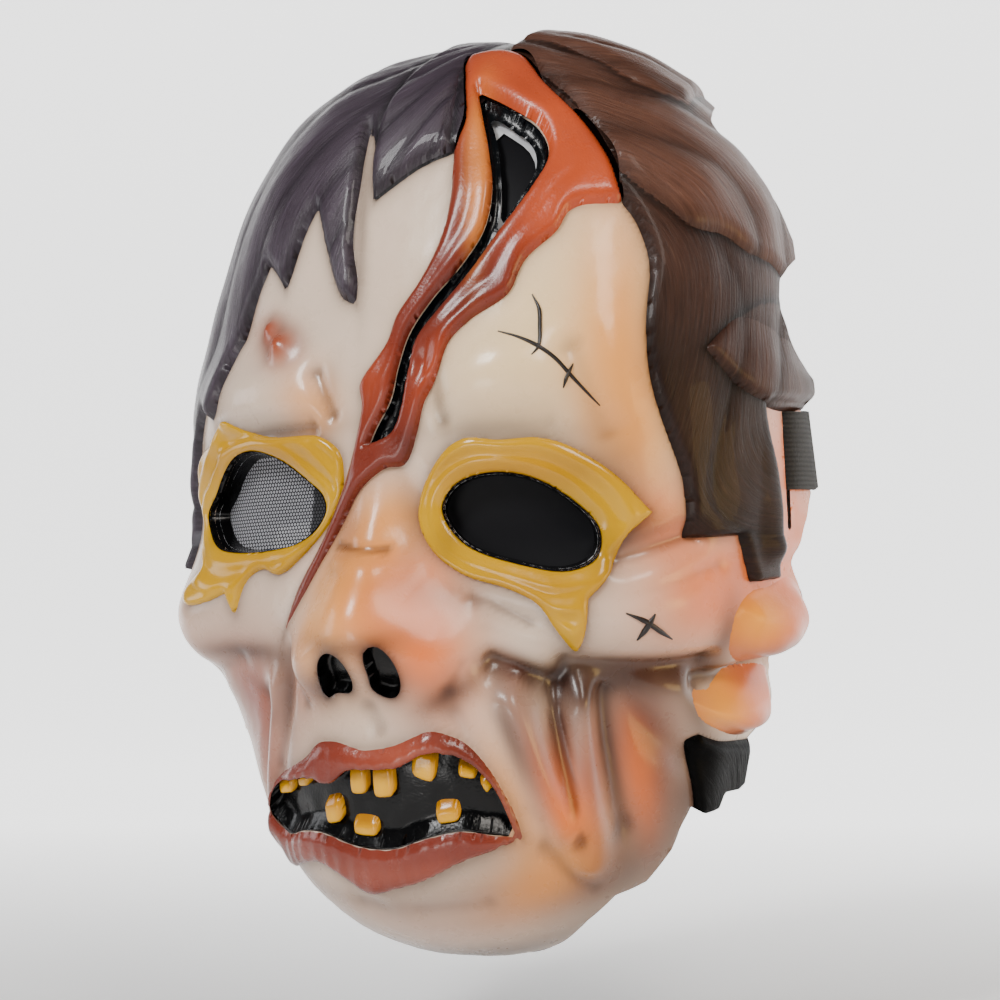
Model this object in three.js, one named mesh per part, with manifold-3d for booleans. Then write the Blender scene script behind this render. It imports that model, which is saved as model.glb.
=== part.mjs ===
// A full-face zombie mask: one moulded plastic shell with its hair, wound, lips, teeth and ear in
// relief, mesh panels behind the eye holes and the split in the forehead, and an elastic head strap.
// Millimetres. X is to the right of someone who looks at the face, -Y is the way it faces, Z is up.
// The origin is where the bridge of the wearer's nose rests, just behind the inside of the shell.
import * as THREE from "three";
import { mergeVertices } from "three/addons/utils/BufferGeometryUtils.js";
import Module from "manifold-3d";

const wasm = await Module();
wasm.setup();

// Main sizes of the shell
const mask_width = 194;
const face_depth = 80; // from the nose bridge back to the widest section
const crown_height = 139; // from the eye line up
const chin_height = 129; // from the eye line down
const squareness = 2.35; // 2 would be an ellipsoid
const wall = 2.2;
const form_depth = 10; // the bulges and hollows of the face are shares of this
const inner_crease_width = 8; // least half width of a crease on the inside, in chart steps

// Heights of the relief above the skin, and depths of the pits below it
const hair_height = 2.6;
const hair_layer_height = 2.4;
const wound_height = 3;
const goo_height = 1.8;
const lip_height = 2;
const tooth_height = 2.6;
const mouth_depth = 5;
const nostril_depth = 4.5;
const split_depth = 2.4;
const eye_rim_depth = 3; // how far the rims of the eye holes stand in from the wall
const eye_rim_width = 2.4;

// Mesh panels behind the openings
const mesh_thickness = 0.6;
const mesh_overlap = 3.4;

// Head strap, and the flat tabs with the slots that it passes through
const strap_width = 22.5;
const strap_thickness = 1.5;
const strap_low = 1.5;
const slot_y = 73;
const slot_low = -10.5;
const slot_high = 24.8;
const tab_inset = 1.5; // of the flat tabs from the full half width
const tab_edge_y = 90.5; // the rim of the shell at the lower edge of the strap
const tab_edge_lean = 0.185; // the rim comes forward by this share of its rise
const head_width = 148;
const head_back_y = 181;
const strap_rise = 0.12; // the strap climbs by this share of its way back
const lap_length = 18; // sewn double part of each strap end
const lap_start = 6; // from the rim of the shell back to the sewn part
const corner_cut = 1; // the strap rounds the rim by this much
const slot_play = 0.6; // how much wider the slot is than the strap and its clearances
const clearance = 0.35;

// The chart: points of the face are given as angles seen from the middle of the head, in hundredths of
// a radian across and up from a line that runs almost straight ahead.
const chart_step = 0.01;
const chart_turn = 0.044; // the nose is this far beside the chart's middle, in radians
const sheet_reach = 198; // chart steps out to which surfaces are made, past the rim on every side
const far_reach = 2000;

const centre = new THREE.Vector3(0, face_depth, 0);
const tab_x = mask_width / 2 - tab_inset;
const upright = new THREE.Vector3(0, 0, 1);

// Bulges and hollows: across, up, half width, half height, turn in degrees, height in form_depth
const forms = [
  [-5, -33, 15, 13, 0, 2.0], // tip of the nose
  [-4, -8, 8, 18, 0, 0.6], // bridge of the nose
  [-27, -43, 9, 8, 0, 0.75], // left nose wing
  [16, -43, 9, 8, 0, 0.75], // right nose wing
  [125, -90, 40, 40, -40, -1.4], // the jaw narrows on the right
  [-122, -92, 40, 36, 40, -0.8], // the jaw narrows on the left
  [0, -107, 38, 22, 0, 1.7], // chin
  [-6, -76, 44, 20, 0, 1.3], // muzzle
  [-96, -32, 20, 14, 0, 1.2], // left cheekbone
  [80, -37, 20, 14, 0, 0.6], // right cheekbone
  [-80, 85, 40, 30, -45, -0.35], // hair on the left
  [85, 100, 45, 40, 45, 0.4], // hair on the right
  [0, 125, 60, 25, 0, 0.3], // crown
  [38, 38, 18, 12, 0, 0.5], // right brow
  [-46, 42, 24, 10, 0, 0.45], // left brow
  [46, -5, 26, 15, -8, -0.3], // right eye socket
  [-54, 6, 27, 15, 0, -0.3], // left eye socket
  [-47, 63, 3.5, 3.5, 0, 0.22], // small bump on the forehead
  [-40.5, 57, 5.5, 5, 0, 0.4], // large bump on the forehead
  [64, -74, 14, 15, 0, -0.6], // right hollow cheek
  [-70, -68, 13, 12, 0, -0.25], // left hollow cheek
  [133, -57, 17, 12, -15, 0.8], // right ear
  [115, -89, 17, 8, -38, 0.5], // lobe of the right ear
  [-142, -57, 17, 12, 15, 0.8], // left ear
  [-124, -89, 17, 8, 38, 0.5], // lobe of the left ear
];

// Ridges and creases: across and up of both ends, half width, height in form_depth
const folds = [
  [38, -55, 44, -88, 3.6, 0.3], // inner ridge of the right cheek
  [58, -62, 47, -98, 4.2, 0.35], // outer ridge of the right cheek
  [33, -49, 50, -60, 3.2, -0.3], // crease above the ridges
  [49, -62, 46, -92, 2.6, -0.25], // crease between the ridges
  [62, -66, 56, -96, 3.4, -0.25], // crease behind the ridges
  [58, -54, 104, -61, 4, -0.35], // crease under the right cheekbone
  [97, -70, 140, -78, 3, -0.6], // crease between the ear and its lobe
  [-106, -70, -149, -78, 3, -0.6], // the same on the left
  [-39, -44, -46, -72, 3.4, -0.3], // crease beside the left nose wing
  [-48, -55, -53, -86, 4.2, 0.25], // ridge of the left cheek
  [25, -46, 37, -78, 4.5, 0.12], // fold from the nose to the mouth
  [-5, -56, -3, -61, 3, -0.15], // groove above the lip
];

// The rim of the shell: across, up. The rows of the flat tabs go in between.
const rim_right_upper = [
  [150, 50], [141, 57], [134, 63], [130, 69.5], [126, 76], [125, 82], [126, 87], [129.5, 94],
  [127, 102], [122, 107], [115.5, 112], [104, 118], [98, 120], [91, 120], [85, 124], [84, 142],
  [64, 155], [35, 163], [0, 166],
];
const rim_left_upper = [
  [-35, 163], [-66, 154], [-92, 138], [-113, 121], [-131, 104], [-136, 90], [-135, 76], [-143, 62],
  [-158, 50],
];
const rim_left_lower = [
  [-168, -10], [-158, -22], [-156, -33], [-163, -48], [-166, -60], [-163, -72], [-152, -80],
  [-145, -86], [-142, -98], [-133, -106], [-118, -107], [-108, -114], [-98, -109], [-86, -106],
  [-76, -112], [-58, -115], [-42, -120], [-28, -128], [-14, -136],
];
const rim_right_lower = [
  [0, -138], [14, -134], [28, -125], [38, -118], [48, -114], [57, -117], [68, -113],
  [73, -108.5], [79, -105.5], [87.5, -111], [92, -109], [98, -115], [101.5, -116], [110, -107.5],
  [125, -108], [131, -104.5], [134.5, -97], [136, -89], [138.5, -84], [151, -78], [155.5, -71],
  [157.5, -61], [154, -48], [150, -38], [148, -32], [153, -20], [160, -9],
];

// Outlines of the relief, pits and openings: across, up, and 1 where the line turns a corner
const outlines = {
  eye_left: [
    [-92.5, 5], [-86, 11.5], [-78, 19.5], [-69, 24.3], [-58, 25.3], [-47, 22], [-36, 14.5], [-28.5, 8],
    [-27, 2.5], [-31, -3.5], [-40, -8.5], [-54, -10.3], [-68, -10.2], [-80, -8], [-88, -2.5],
  ],
  eye_right: [
    [21, 0], [26, 8], [38, 11.3], [52, 8.8], [64, 1], [71.5, -9], [70, -18], [61, -22.2],
    [45, -19.5], [28, -12],
  ],
  goo_left: [
    [-18, 14], [-19, 23], [-28, 29], [-48, 30], [-62, 33], [-73, 36.5], [-85, 31], [-100, 26],
    [-105, 14], [-98, 3], [-94, -8], [-88, -14, 1], [-94, -21], [-90, -25.5], [-79, -25.5],
    [-72, -23.5, 1], [-67, -31, 1], [-63, -20], [-57, -17], [-49, -19.3], [-38, -13.5], [-29, -6],
    [-20, 5],
  ],
  goo_right: [
    [12, -3], [14, 8], [22, 19], [30, 23], [42, 21.5], [54, 21.5], [64, 18], [77, 8], [88, -5, 1],
    [79, -13], [75, -21], [65, -31, 1], [62, -42], [59, -49.5, 1], [54, -40], [50, -32.5], [42, -28],
    [28, -23], [17, -14],
  ],
  wound: [
    [12, 128], [20, 131], [28, 128.5], [39, 117], [53, 106], [62, 97], [68.5, 86, 1], [55, 84],
    [52.5, 79], [45, 72], [41.5, 63], [31, 57], [25, 51.5], [22, 44], [17, 36], [13.5, 26], [8, 16],
    [1, 15], [-9, 8], [-18, -3], [-30, -21], [-41, -35], [-45, -40, 1], [-39, -25], [-30, -12],
    [-22, 2], [-15, 14], [-10, 27], [-7.5, 36], [-8, 43], [2, 55], [5, 62], [13, 71], [18, 80],
    [19.5, 90], [18, 101], [19, 108], [15, 119],
  ],
  split: [
    [20, 116.5, 1], [31, 111], [41, 105], [45.5, 98], [43, 90], [35, 78.5], [29, 70.5], [20, 61.5],
    [13, 54], [10, 42], [8, 34], [4, 27], [-5.5, 23.5, 1], [-2, 29.5], [4, 38], [6.5, 47],
    [10, 56.5], [17, 65], [26, 73], [31.5, 81], [32, 90], [28.5, 100], [24, 109],
  ],
  split_window: [
    [24.5, 112, 1], [32, 108], [39.5, 103], [42.5, 97.5], [40.5, 91], [35, 81.5, 1], [34.5, 90],
    [31.5, 100], [28, 107],
  ],
  mouth: [
    [-52, -84, 1], [-48, -78], [-38.5, -74.5], [-28.5, -72.3], [-20.5, -72.7], [-14, -69.7],
    [-8.5, -69.4], [2, -69.1], [10.5, -66.8], [17.5, -67.7], [23, -71], [27.7, -77], [30.5, -87.3, 1],
    [25, -85], [18, -82.7], [8, -83], [-2, -84.7], [-12, -84.5], [-24, -83.2], [-33, -84.5],
    [-43, -87.5],
  ],
  lips: [
    [-54, -88, 1], [-50, -78.5], [-40, -72.5], [-30.5, -68.2], [-25, -64.7], [-17.5, -64], [-8, -65.5],
    [0, -65], [7.5, -63.2], [12.3, -62.3], [18, -64], [23.5, -67.5], [28.6, -74.5], [31.5, -83],
    [32, -88, 1], [25, -87.8], [15, -88.7], [5, -91.3], [-4, -94.7], [-12, -96.3], [-19, -93],
    [-27, -90.6], [-36.5, -94], [-49, -100],
  ],
  nostril_left: [
    [-15.5, -39.5], [-10.5, -37], [-7, -38.5], [-6, -42], [-7, -47.5], [-9.5, -50.5], [-14, -50.5],
    [-19, -52.5], [-18.5, -47],
  ],
  nostril_right: [
    [1, -36.5], [4, -36], [7.3, -39.5], [8.5, -44], [7.5, -49], [4.5, -52.5], [0.5, -52], [-1.6, -49.5],
    [-0.5, -44],
  ],
  face: [
    [17.5, 101, 1], [8, 99], [-1, 95.5], [-6.3, 93, 1], [-8, 98], [-9.5, 107], [-12.4, 112, 1],
    [-12, 100], [-12.8, 84], [-10.7, 74], [-11, 67.5, 1], [-17, 70.5], [-22, 80], [-25.5, 89],
    [-28, 94, 1], [-33, 88], [-38, 80], [-41.5, 74.7, 1], [-45, 79], [-49.5, 83, 1], [-57, 74],
    [-62.5, 63, 1], [-66, 59.5], [-71, 49], [-76, 40.5], [-81, 37.5, 1], [-87, 43], [-97, 38],
    [-104, 22], [-107, 2], [-107, -15, 1], [-118, -16, 1], [-118, -88, 1], [-100, -125, 1],
    [0, -158, 1], [60, -130, 1], [80, -106, 1], [86, -88, 1], [117.5, -40, 1], [117.5, -15.5, 1],
    [98, -15, 1], [98.5, -3], [97, 8], [91, 23], [85, 38], [81.5, 53], [79.5, 70], [75, 79],
    [66, 88, 1], [40, 110, 1],
  ],
  side_right: [
    [112, -15.5, 1], [117.5, -15.5, 1], [120.5, -34, 1], [136, -36, 1], [136, -10], [134.5, 5],
    [131, 20], [127, 35, 1], [153, 42.5, 1], [175, 48, 1], [185, 0, 1], [180, -90, 1],
    [135, -120, 1], [112, -107, 1], [91, -86, 1], [86, -88, 1],
  ],
  side_left: [
    [-115, -15.5, 1], [-95, -125, 1], [-112, -112, 1], [-140, -122, 1], [-185, -90, 1],
    [-190, 0, 1], [-180, 49, 1], [-160, 43, 1], [-136, 35, 1], [-141, 10], [-145, -10],
    [-145, -36, 1], [-129, -35, 1], [-126, -15.5, 1],
  ],
  hair_upper: [
    [48, 110, 1], [66, 91], [80, 84.5], [89, 81], [98, 83], [109, 81.5], [120, 83], [140, 84, 1],
    [165, 110, 1], [140, 165, 1], [60, 190, 1], [26, 185, 1], [22, 142], [22, 131, 1],
  ],
  hair_tuft: [
    [24, 134, 1], [40, 128], [58, 119.5], [70, 119], [78, 121, 1], [79, 140, 1], [90, 170, 1],
    [60, 186, 1], [26, 186, 1],
  ],
  hair_fringe: [
    [13, 124, 1], [16, 112], [17.5, 101, 1], [8, 99], [-1, 95.5], [-6.3, 93, 1], [-8, 103],
    [-7, 118], [0, 140], [4, 175, 1], [20, 175, 1], [17, 140],
  ],
};

// Teeth: across, up, half width, half height, turn in degrees
const teeth = [
  [-44.5, -78.6, 4, 2.2, 12], [-34.5, -75.2, 3, 1.9, 12], [-12, -73, 3.2, 3.3, 3],
  [-3.8, -73.2, 3.6, 3.6, 0], [9, -70.5, 3.8, 3.3, -18], [21, -73.2, 2.8, 1.7, -18],
  [25.4, -76.8, 1.6, 1.8, 25], [-21.8, -80.2, 3.4, 2.7, 12], [-10.8, -82.6, 4.2, 1.8, 0],
  [13.8, -80.6, 3.4, 2, 0],
];

// Grid lines of the surfaces: from, to, step, in chart steps
const fine_across = [[-198, -110, 14.6], [-110, -50, 8.6], [-50, 40, 6.4], [40, 110, 8.8], [110, 198, 12.6]];
const fine_up = [[-198, -118, 16], [-118, -60, 7.2], [-60, -10, 6.2], [-10, 40, 8.3], [40, 198, 12.1]];
const coarse_across = [[-198, -102, 19.2], [-102, 102, 12], [102, 198, 19.2]];
const coarse_up = [[-198, -118, 20], [-118, 34, 9.5], [34, 198, 16.4]];

// The direction of a chart point from the middle of the head
function direction(across, up) {
  const angle = Math.hypot(across, up) * chart_step;
  const turn = Math.atan2(up, across);
  const ray = new THREE.Vector3(
    Math.sin(angle) * Math.cos(turn), -Math.cos(angle), Math.sin(angle) * Math.sin(turn),
  );
  return ray.applyAxisAngle(upright, chart_turn);
}

// The chart point that a point of the model is seen at
function chartPoint(x, y, z) {
  const ray = new THREE.Vector3(x, y, z).sub(centre).normalize();
  ray.applyAxisAngle(upright, -chart_turn);
  const reach = Math.acos(-ray.y) / chart_step;
  const turn = Math.atan2(ray.z, ray.x);
  return [reach * Math.cos(turn), reach * Math.sin(turn)];
}

// Goes smoothly from 0 to 1 as value passes from low to high
function ease(value, low, high) {
  return THREE.MathUtils.smoothstep(value, low, high);
}

function formHeight(across, up, [at_across, at_up, half_width, half_height, degrees, height]) {
  const turn = THREE.MathUtils.degToRad(degrees);
  const right = across - at_across;
  const above = up - at_up;
  const along = (right * Math.cos(turn) + above * Math.sin(turn)) / half_width;
  const over = (above * Math.cos(turn) - right * Math.sin(turn)) / half_height;
  return height * form_depth * Math.exp(-0.5 * (along * along + over * over));
}

// Inside the shell ridges are left out and creases are wider, so that the wall stays whole under them
function foldHeight(across, up, row, is_inside) {
  const [from_across, from_up, to_across, to_up, outer_half_width, height] = row;
  if (is_inside && height > 0) return 0;
  const half_width = is_inside ? Math.max(outer_half_width, inner_crease_width) : outer_half_width;
  const run = to_across - from_across;
  const rise = to_up - from_up;
  const share = ((across - from_across) * run + (up - from_up) * rise) / (run * run + rise * rise);
  const nearest = THREE.MathUtils.clamp(share, 0, 1);
  const away = Math.hypot(across - from_across - nearest * run, up - from_up - nearest * rise);
  return height * form_depth * Math.exp(-0.5 * (away / half_width) ** 2);
}

// How far the skin is from the middle of the head at a chart point
function skinRadius(across, up, is_inside = false) {
  const ray = direction(across, up);
  const height = ray.z > 0 ? crown_height : chin_height;
  const sum =
    Math.abs(ray.x / (mask_width / 2)) ** squareness +
    Math.abs(ray.y / face_depth) ** squareness +
    Math.abs(ray.z / height) ** squareness;
  let radius = sum ** (-1 / squareness);
  for (const row of forms) radius += formHeight(across, up, row);
  for (const row of folds) radius += foldHeight(across, up, row, is_inside);
  const sideways = Math.abs(across + chart_turn / chart_step);
  const on_tab =
    ease(sideways, 128, 138) * ease(up, -30, -20) * (1 - ease(up, 42, 52)) * ease(Math.abs(ray.x), 0.7, 0.8);
  return THREE.MathUtils.lerp(radius, tab_x / Math.max(Math.abs(ray.x), 0.5), on_tab);
}

// How much longer a step along the ray is than the same step square to the skin
function slantOfSkin(across, up) {
  const spread = 1;
  const place = (a, u) => direction(a, u).multiplyScalar(skinRadius(a, u));
  const right = place(across + spread, up).sub(place(across - spread, up));
  const above = place(across, up + spread).sub(place(across, up - spread));
  const normal = right.cross(above).normalize();
  return 1 / Math.max(Math.abs(normal.dot(direction(across, up))), 0.55);
}

function gridLines(stretches) {
  const lines = [stretches[0][0]];
  for (const [from, to, step] of stretches) {
    const count = Math.round((to - from) / step);
    for (let i = 1; i <= count; i += 1) lines.push(from + ((to - from) * i) / count);
  }
  return lines;
}

function solidOf(positions, triangles) {
  return new wasm.Manifold(
    new wasm.Mesh({
      numProp: 3,
      vertProperties: new Float32Array(positions),
      triVerts: new Uint32Array(triangles),
    }),
  );
}

function solidOfGeometry(geometry) {
  geometry.deleteAttribute("normal");
  geometry.deleteAttribute("uv");
  const merged = mergeVertices(geometry, 1e-3);
  return solidOf(merged.attributes.position.array, merged.index.array);
}

// All that is nearer to the middle of the head than a surface, the skin raised by a height
function within(height, across_lines, up_lines) {
  const positions = [...centre.toArray()];
  const triangles = [];
  const numbers = new Map();
  const number = (i, j) => {
    const key = i + "," + j;
    if (!numbers.has(key)) {
      const [across, up] = [across_lines[i], up_lines[j]];
      const rise = height < 0 ? height * slantOfSkin(across, up) : height;
      const radius = skinRadius(across, up, up_lines === coarse[1]) + rise;
      const point = direction(across, up).multiplyScalar(radius).add(centre);
      numbers.set(key, positions.length / 3);
      positions.push(point.x, point.y, point.z);
    }
    return numbers.get(key);
  };
  const inside = (i, j) =>
    i >= 0 && j >= 0 && i < across_lines.length - 1 && j < up_lines.length - 1 &&
    Math.hypot(across_lines[i] + across_lines[i + 1], up_lines[j] + up_lines[j + 1]) < 2 * sheet_reach;
  for (let i = 0; i < across_lines.length - 1; i += 1) {
    for (let j = 0; j < up_lines.length - 1; j += 1) {
      if (!inside(i, j)) continue;
      const [a, b, c, d] = [number(i, j), number(i + 1, j), number(i + 1, j + 1), number(i, j + 1)];
      triangles.push(a, b, c, a, c, d);
      if (!inside(i, j - 1)) triangles.push(b, a, 0);
      if (!inside(i + 1, j)) triangles.push(c, b, 0);
      if (!inside(i, j + 1)) triangles.push(d, c, 0);
      if (!inside(i - 1, j)) triangles.push(a, d, 0);
    }
  }
  return solidOf(positions, triangles);
}

// The points of a closed outline: smooth between its corners, with a point about every step
function trace(rows, step = 7) {
  const points = rows.map(([across, up]) => new THREE.Vector3(across, up, 0));
  const corners = rows.map((row, i) => (row[2] ? i : -1)).filter((i) => i >= 0);
  if (!corners.length) return spaced(new THREE.CatmullRomCurve3(points, true, "centripetal"), step);
  return corners.flatMap((start, k) => {
    const end = corners[(k + 1) % corners.length];
    const count = ((end - start + rows.length - 1) % rows.length) + 2;
    const run = Array.from({ length: count }, (_, i) => points[(start + i) % rows.length]);
    if (count === 2) return [[run[0].x, run[0].y]];
    return spaced(new THREE.CatmullRomCurve3(run, false, "centripetal"), step);
  });
}

function spaced(curve, step) {
  const count = Math.max(Math.round(curve.getLength() / step), 1);
  return curve.getSpacedPoints(count).slice(0, -1).map((p) => [p.x, p.y]);
}

// An outline moved outwards by a distance in chart steps
function grown(points, distance) {
  const area = THREE.ShapeUtils.area(points.map(([x, y]) => new THREE.Vector2(x, y)));
  return points.map(([x, y], i) => {
    const [px, py] = points[(i + points.length - 1) % points.length];
    const [nx, ny] = points[(i + 1) % points.length];
    const normal = new THREE.Vector2(ny - py, px - nx).normalize();
    return [x + Math.sign(area) * distance * normal.x, y + Math.sign(area) * distance * normal.y];
  });
}

// All the rays from the middle of the head through an outline, out to far beyond the mask
function raysThrough(outline) {
  let contour = outline.map(([x, y]) => new THREE.Vector2(x, y));
  if (THREE.ShapeUtils.area(contour) < 0) contour = contour.reverse();
  const positions = [...centre.toArray()];
  for (const { x, y } of contour) {
    positions.push(...direction(x, y).multiplyScalar(far_reach).add(centre).toArray());
  }
  const triangles = [];
  for (const [a, b, c] of THREE.ShapeUtils.triangulateShape(contour, [])) {
    const turn = THREE.ShapeUtils.area([contour[a], contour[b], contour[c]]);
    triangles.push(a + 1, turn > 0 ? b + 1 : c + 1, turn > 0 ? c + 1 : b + 1);
  }
  contour.forEach((_, i) => triangles.push(((i + 1) % contour.length) + 1, i + 1, 0));
  return solidOf(positions, triangles);
}

// The same for the rim, which reaches more than half way round: its far side is made of rings
function raysThroughRim(outline) {
  const rings = 8;
  const count = outline.length;
  const positions = [...centre.toArray(), ...direction(0, 0).multiplyScalar(far_reach).add(centre).toArray()];
  for (let ring = 1; ring <= rings; ring += 1) {
    for (const [x, y] of outline) {
      const ray = direction((x * ring) / rings, (y * ring) / rings);
      positions.push(...ray.multiplyScalar(far_reach).add(centre).toArray());
    }
  }
  const number = (ring, i) => 2 + (ring - 1) * count + (i % count);
  const triangles = [];
  for (let i = 0; i < count; i += 1) {
    triangles.push(1, number(1, i), number(1, i + 1));
    for (let ring = 1; ring < rings; ring += 1) {
      triangles.push(number(ring, i), number(ring + 1, i), number(ring + 1, i + 1));
      triangles.push(number(ring, i), number(ring + 1, i + 1), number(ring, i + 1));
    }
    triangles.push(number(rings, i + 1), number(rings, i), 0);
  }
  return solidOf(positions, triangles);
}

// The rim beside a tab is straight: its points from the lower to the upper end
function tabEdge(side) {
  const heights = [strap_low - 1, (strap_low + slot_high) / 2, slot_high + 1];
  return heights.map((z) =>
    chartPoint(side * tab_x, tab_edge_y - tab_edge_lean * (z - strap_low), z));
}

function ellipse([across, up, half_width, half_height, degrees]) {
  const corner_count = 8;
  const turn = THREE.MathUtils.degToRad(degrees);
  return Array.from({ length: corner_count }, (_, i) => {
    const angle = (2 * Math.PI * i) / corner_count;
    const right = half_width * Math.sign(Math.cos(angle)) * Math.abs(Math.cos(angle)) ** 0.6;
    const above = half_height * Math.sign(Math.sin(angle)) * Math.abs(Math.sin(angle)) ** 0.6;
    return [
      across + right * Math.cos(turn) - above * Math.sin(turn),
      up + right * Math.sin(turn) + above * Math.cos(turn),
    ];
  });
}

const fine = [gridLines(fine_across), gridLines(fine_up)];
const coarse = [gridLines(coarse_across), gridLines(coarse_up)];
const rays = Object.fromEntries(
  Object.entries(outlines).map(([name, rows]) => [name, raysThrough(trace(rows))]),
);
const rim = [
  ...tabEdge(1), ...rim_right_upper, ...rim_left_upper, ...tabEdge(-1).reverse(), ...rim_left_lower,
  ...rim_right_lower,
];

// Pits in the face: depth, name of the outline
const pits = [
  [mouth_depth, "mouth"],
  [nostril_depth, "nostril_left"],
  [nostril_depth, "nostril_right"],
  [split_depth, "split"],
];

// The outside of the shell: the skin, what stands above it, and the pits
function outside() {
  const skin = within(0, ...fine);
  const hair = within(hair_height, ...fine)
    .subtract(rays.face)
    .subtract(rays.side_right)
    .subtract(rays.side_left);
  const raised = [
    [hair_height + hair_layer_height / 2, rays.hair_fringe],
    [hair_height + hair_layer_height, rays.hair_upper],
    [hair_height + 2 * hair_layer_height, rays.hair_tuft],
    [wound_height, rays.wound],
    [goo_height, rays.goo_left],
    [goo_height, rays.goo_right],
    [lip_height, rays.lips],
  ];
  let body = skin.add(hair);
  for (const [height, outline] of raised) body = body.add(within(height, ...fine).intersect(outline));
  for (const [depth, name] of pits) body = body.subtract(rays[name].subtract(within(-depth, ...fine)));
  const tooth_tops = within(tooth_height - mouth_depth, ...fine);
  for (const tooth of teeth) body = body.add(tooth_tops.intersect(raysThrough(ellipse(tooth))));
  return body;
}

// The hollow inside: a wall behind the skin, and a wall behind the floor of each deep pit
function hollow() {
  let room = within(-wall, ...coarse);
  for (const [depth, name] of pits) {
    const floor = within(-depth - wall, ...coarse);
    room = room.subtract(raysThrough(grown(trace(outlines[name]), 2 * wall)).subtract(floor));
  }
  for (const rows of [outlines.eye_left, outlines.eye_right]) {
    const ring = raysThrough(grown(trace(rows), eye_rim_width));
    room = room.subtract(ring.subtract(within(-wall - eye_rim_depth, ...coarse)));
  }
  return room;
}

// A slot for the strap, cut straight through a tab
function slot(side) {
  const slot_width = strap_thickness + 2 * clearance + slot_play;
  const height = slot_high - slot_low;
  const cutter = new THREE.BoxGeometry(6 * wall, slot_width, height);
  cutter.translate(side * tab_x, slot_y, slot_low + height / 2);
  return solidOfGeometry(cutter);
}

function maskShell() {
  let shell = outside().subtract(hollow()).intersect(raysThroughRim(rim));
  for (const opening of [rays.eye_left, rays.eye_right, rays.split_window, slot(1), slot(-1)]) {
    shell = shell.subtract(opening);
  }
  return shell;
}

// A panel of stiff mesh, glued against the inside of the shell behind an opening
function meshPanel(rows, set_back) {
  const front = within(-wall - set_back - clearance, ...coarse);
  const back = within(-wall - set_back - clearance - mesh_thickness, ...coarse);
  return front.subtract(back).intersect(raysThrough(grown(trace(rows), mesh_overlap)));
}

// The strap seen from above: a band round the back of the head, its ends looped through the slots
function headStrap() {
  const outer = tab_x + clearance + strap_thickness;
  const inner = tab_x - wall - clearance - strap_thickness;
  const edge = tab_edge_y + clearance;
  const lap_y = edge + strap_thickness + lap_start;
  const band_y = lap_y + lap_length;
  const side_x = head_width / 2 + strap_thickness;
  const arc_steps = 28;
  const arc = (half_width, back_y) =>
    Array.from({ length: arc_steps + 1 }, (_, i) => {
      const angle = (Math.PI * i) / arc_steps;
      return [half_width * Math.cos(angle), band_y + (back_y - band_y) * Math.sin(angle)];
    });
  const lap_x = (outer + inner) / 2 - corner_cut;
  const slot_front = slot_y - strap_thickness / 2;
  const right = [
    [outer, slot_front], [outer, edge], [outer - corner_cut, edge + strap_thickness],
    [lap_x + strap_thickness, lap_y],
  ];
  const outline = new THREE.Shape();
  const inside_right = [[inner, edge], [inner, slot_front]];
  const path = [
    ...right,
    ...arc(side_x, head_back_y),
    ...right.map(([x, y]) => [-x, y]).reverse(),
    ...inside_right.map(([x, y]) => [-x, y]).reverse(),
    [-lap_x + strap_thickness, lap_y],
    ...arc(side_x - strap_thickness, head_back_y - strap_thickness).reverse(),
    [lap_x - strap_thickness, lap_y],
    ...inside_right,
  ];
  path.forEach(([x, y], i) => (i ? outline.lineTo(x, y) : outline.moveTo(x, y)));
  for (const side of [1, -1]) {
    const room = new THREE.Path();
    const corners = [
      [outer - strap_thickness, slot_y + strap_thickness / 2],
      [outer - strap_thickness, edge],
      [inner + strap_thickness, edge],
      [inner + strap_thickness, slot_y + strap_thickness / 2],
    ];
    corners.forEach(([x, y], i) => (i ? room.lineTo(side * x, y) : room.moveTo(side * x, y)));
    outline.holes.push(room);
  }
  const band = new THREE.ExtrudeGeometry(outline, { depth: strap_width, bevelEnabled: false });
  band.translate(0, 0, strap_low);
  const place = band.attributes.position;
  for (let i = 0; i < place.count; i += 1) {
    const [y, z] = [place.getY(i), place.getZ(i)];
    const leans = ease(y, slot_y, tab_edge_y) * (1 - ease(y, lap_y, band_y));
    place.setY(i, y - leans * tab_edge_lean * (z - strap_low));
    place.setZ(i, z + strap_rise * Math.max(y - edge, 0));
  }
  return solidOfGeometry(band);
}

function meshOf(name, solid, color, roughness, metalness) {
  const { vertProperties, triVerts } = solid.getMesh();
  const geometry = new THREE.BufferGeometry();
  geometry.setAttribute("position", new THREE.BufferAttribute(new Float32Array(vertProperties), 3));
  geometry.setIndex(new THREE.BufferAttribute(new Uint32Array(triVerts), 1));
  const mesh = new THREE.Mesh(geometry, new THREE.MeshStandardMaterial({ color, roughness, metalness }));
  mesh.name = name;
  return mesh;
}

const group = new THREE.Group();
group.add(meshOf("mask_shell", maskShell(), 0xd6c6ba, 0.35, 0));
group.add(meshOf("eye_mesh_left", meshPanel(outlines.eye_left, eye_rim_depth), 0x202022, 0.6, 0));
group.add(meshOf("eye_mesh_right", meshPanel(outlines.eye_right, eye_rim_depth), 0x202022, 0.6, 0));
group.add(meshOf("wound_mesh", meshPanel(outlines.split_window, split_depth), 0x161618, 0.6, 0));
group.add(meshOf("head_strap", headStrap(), 0x18181a, 0.8, 0));

export default group;
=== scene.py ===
import math

import bmesh
import bpy
import numpy as np
from mathutils import Matrix, Vector


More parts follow.
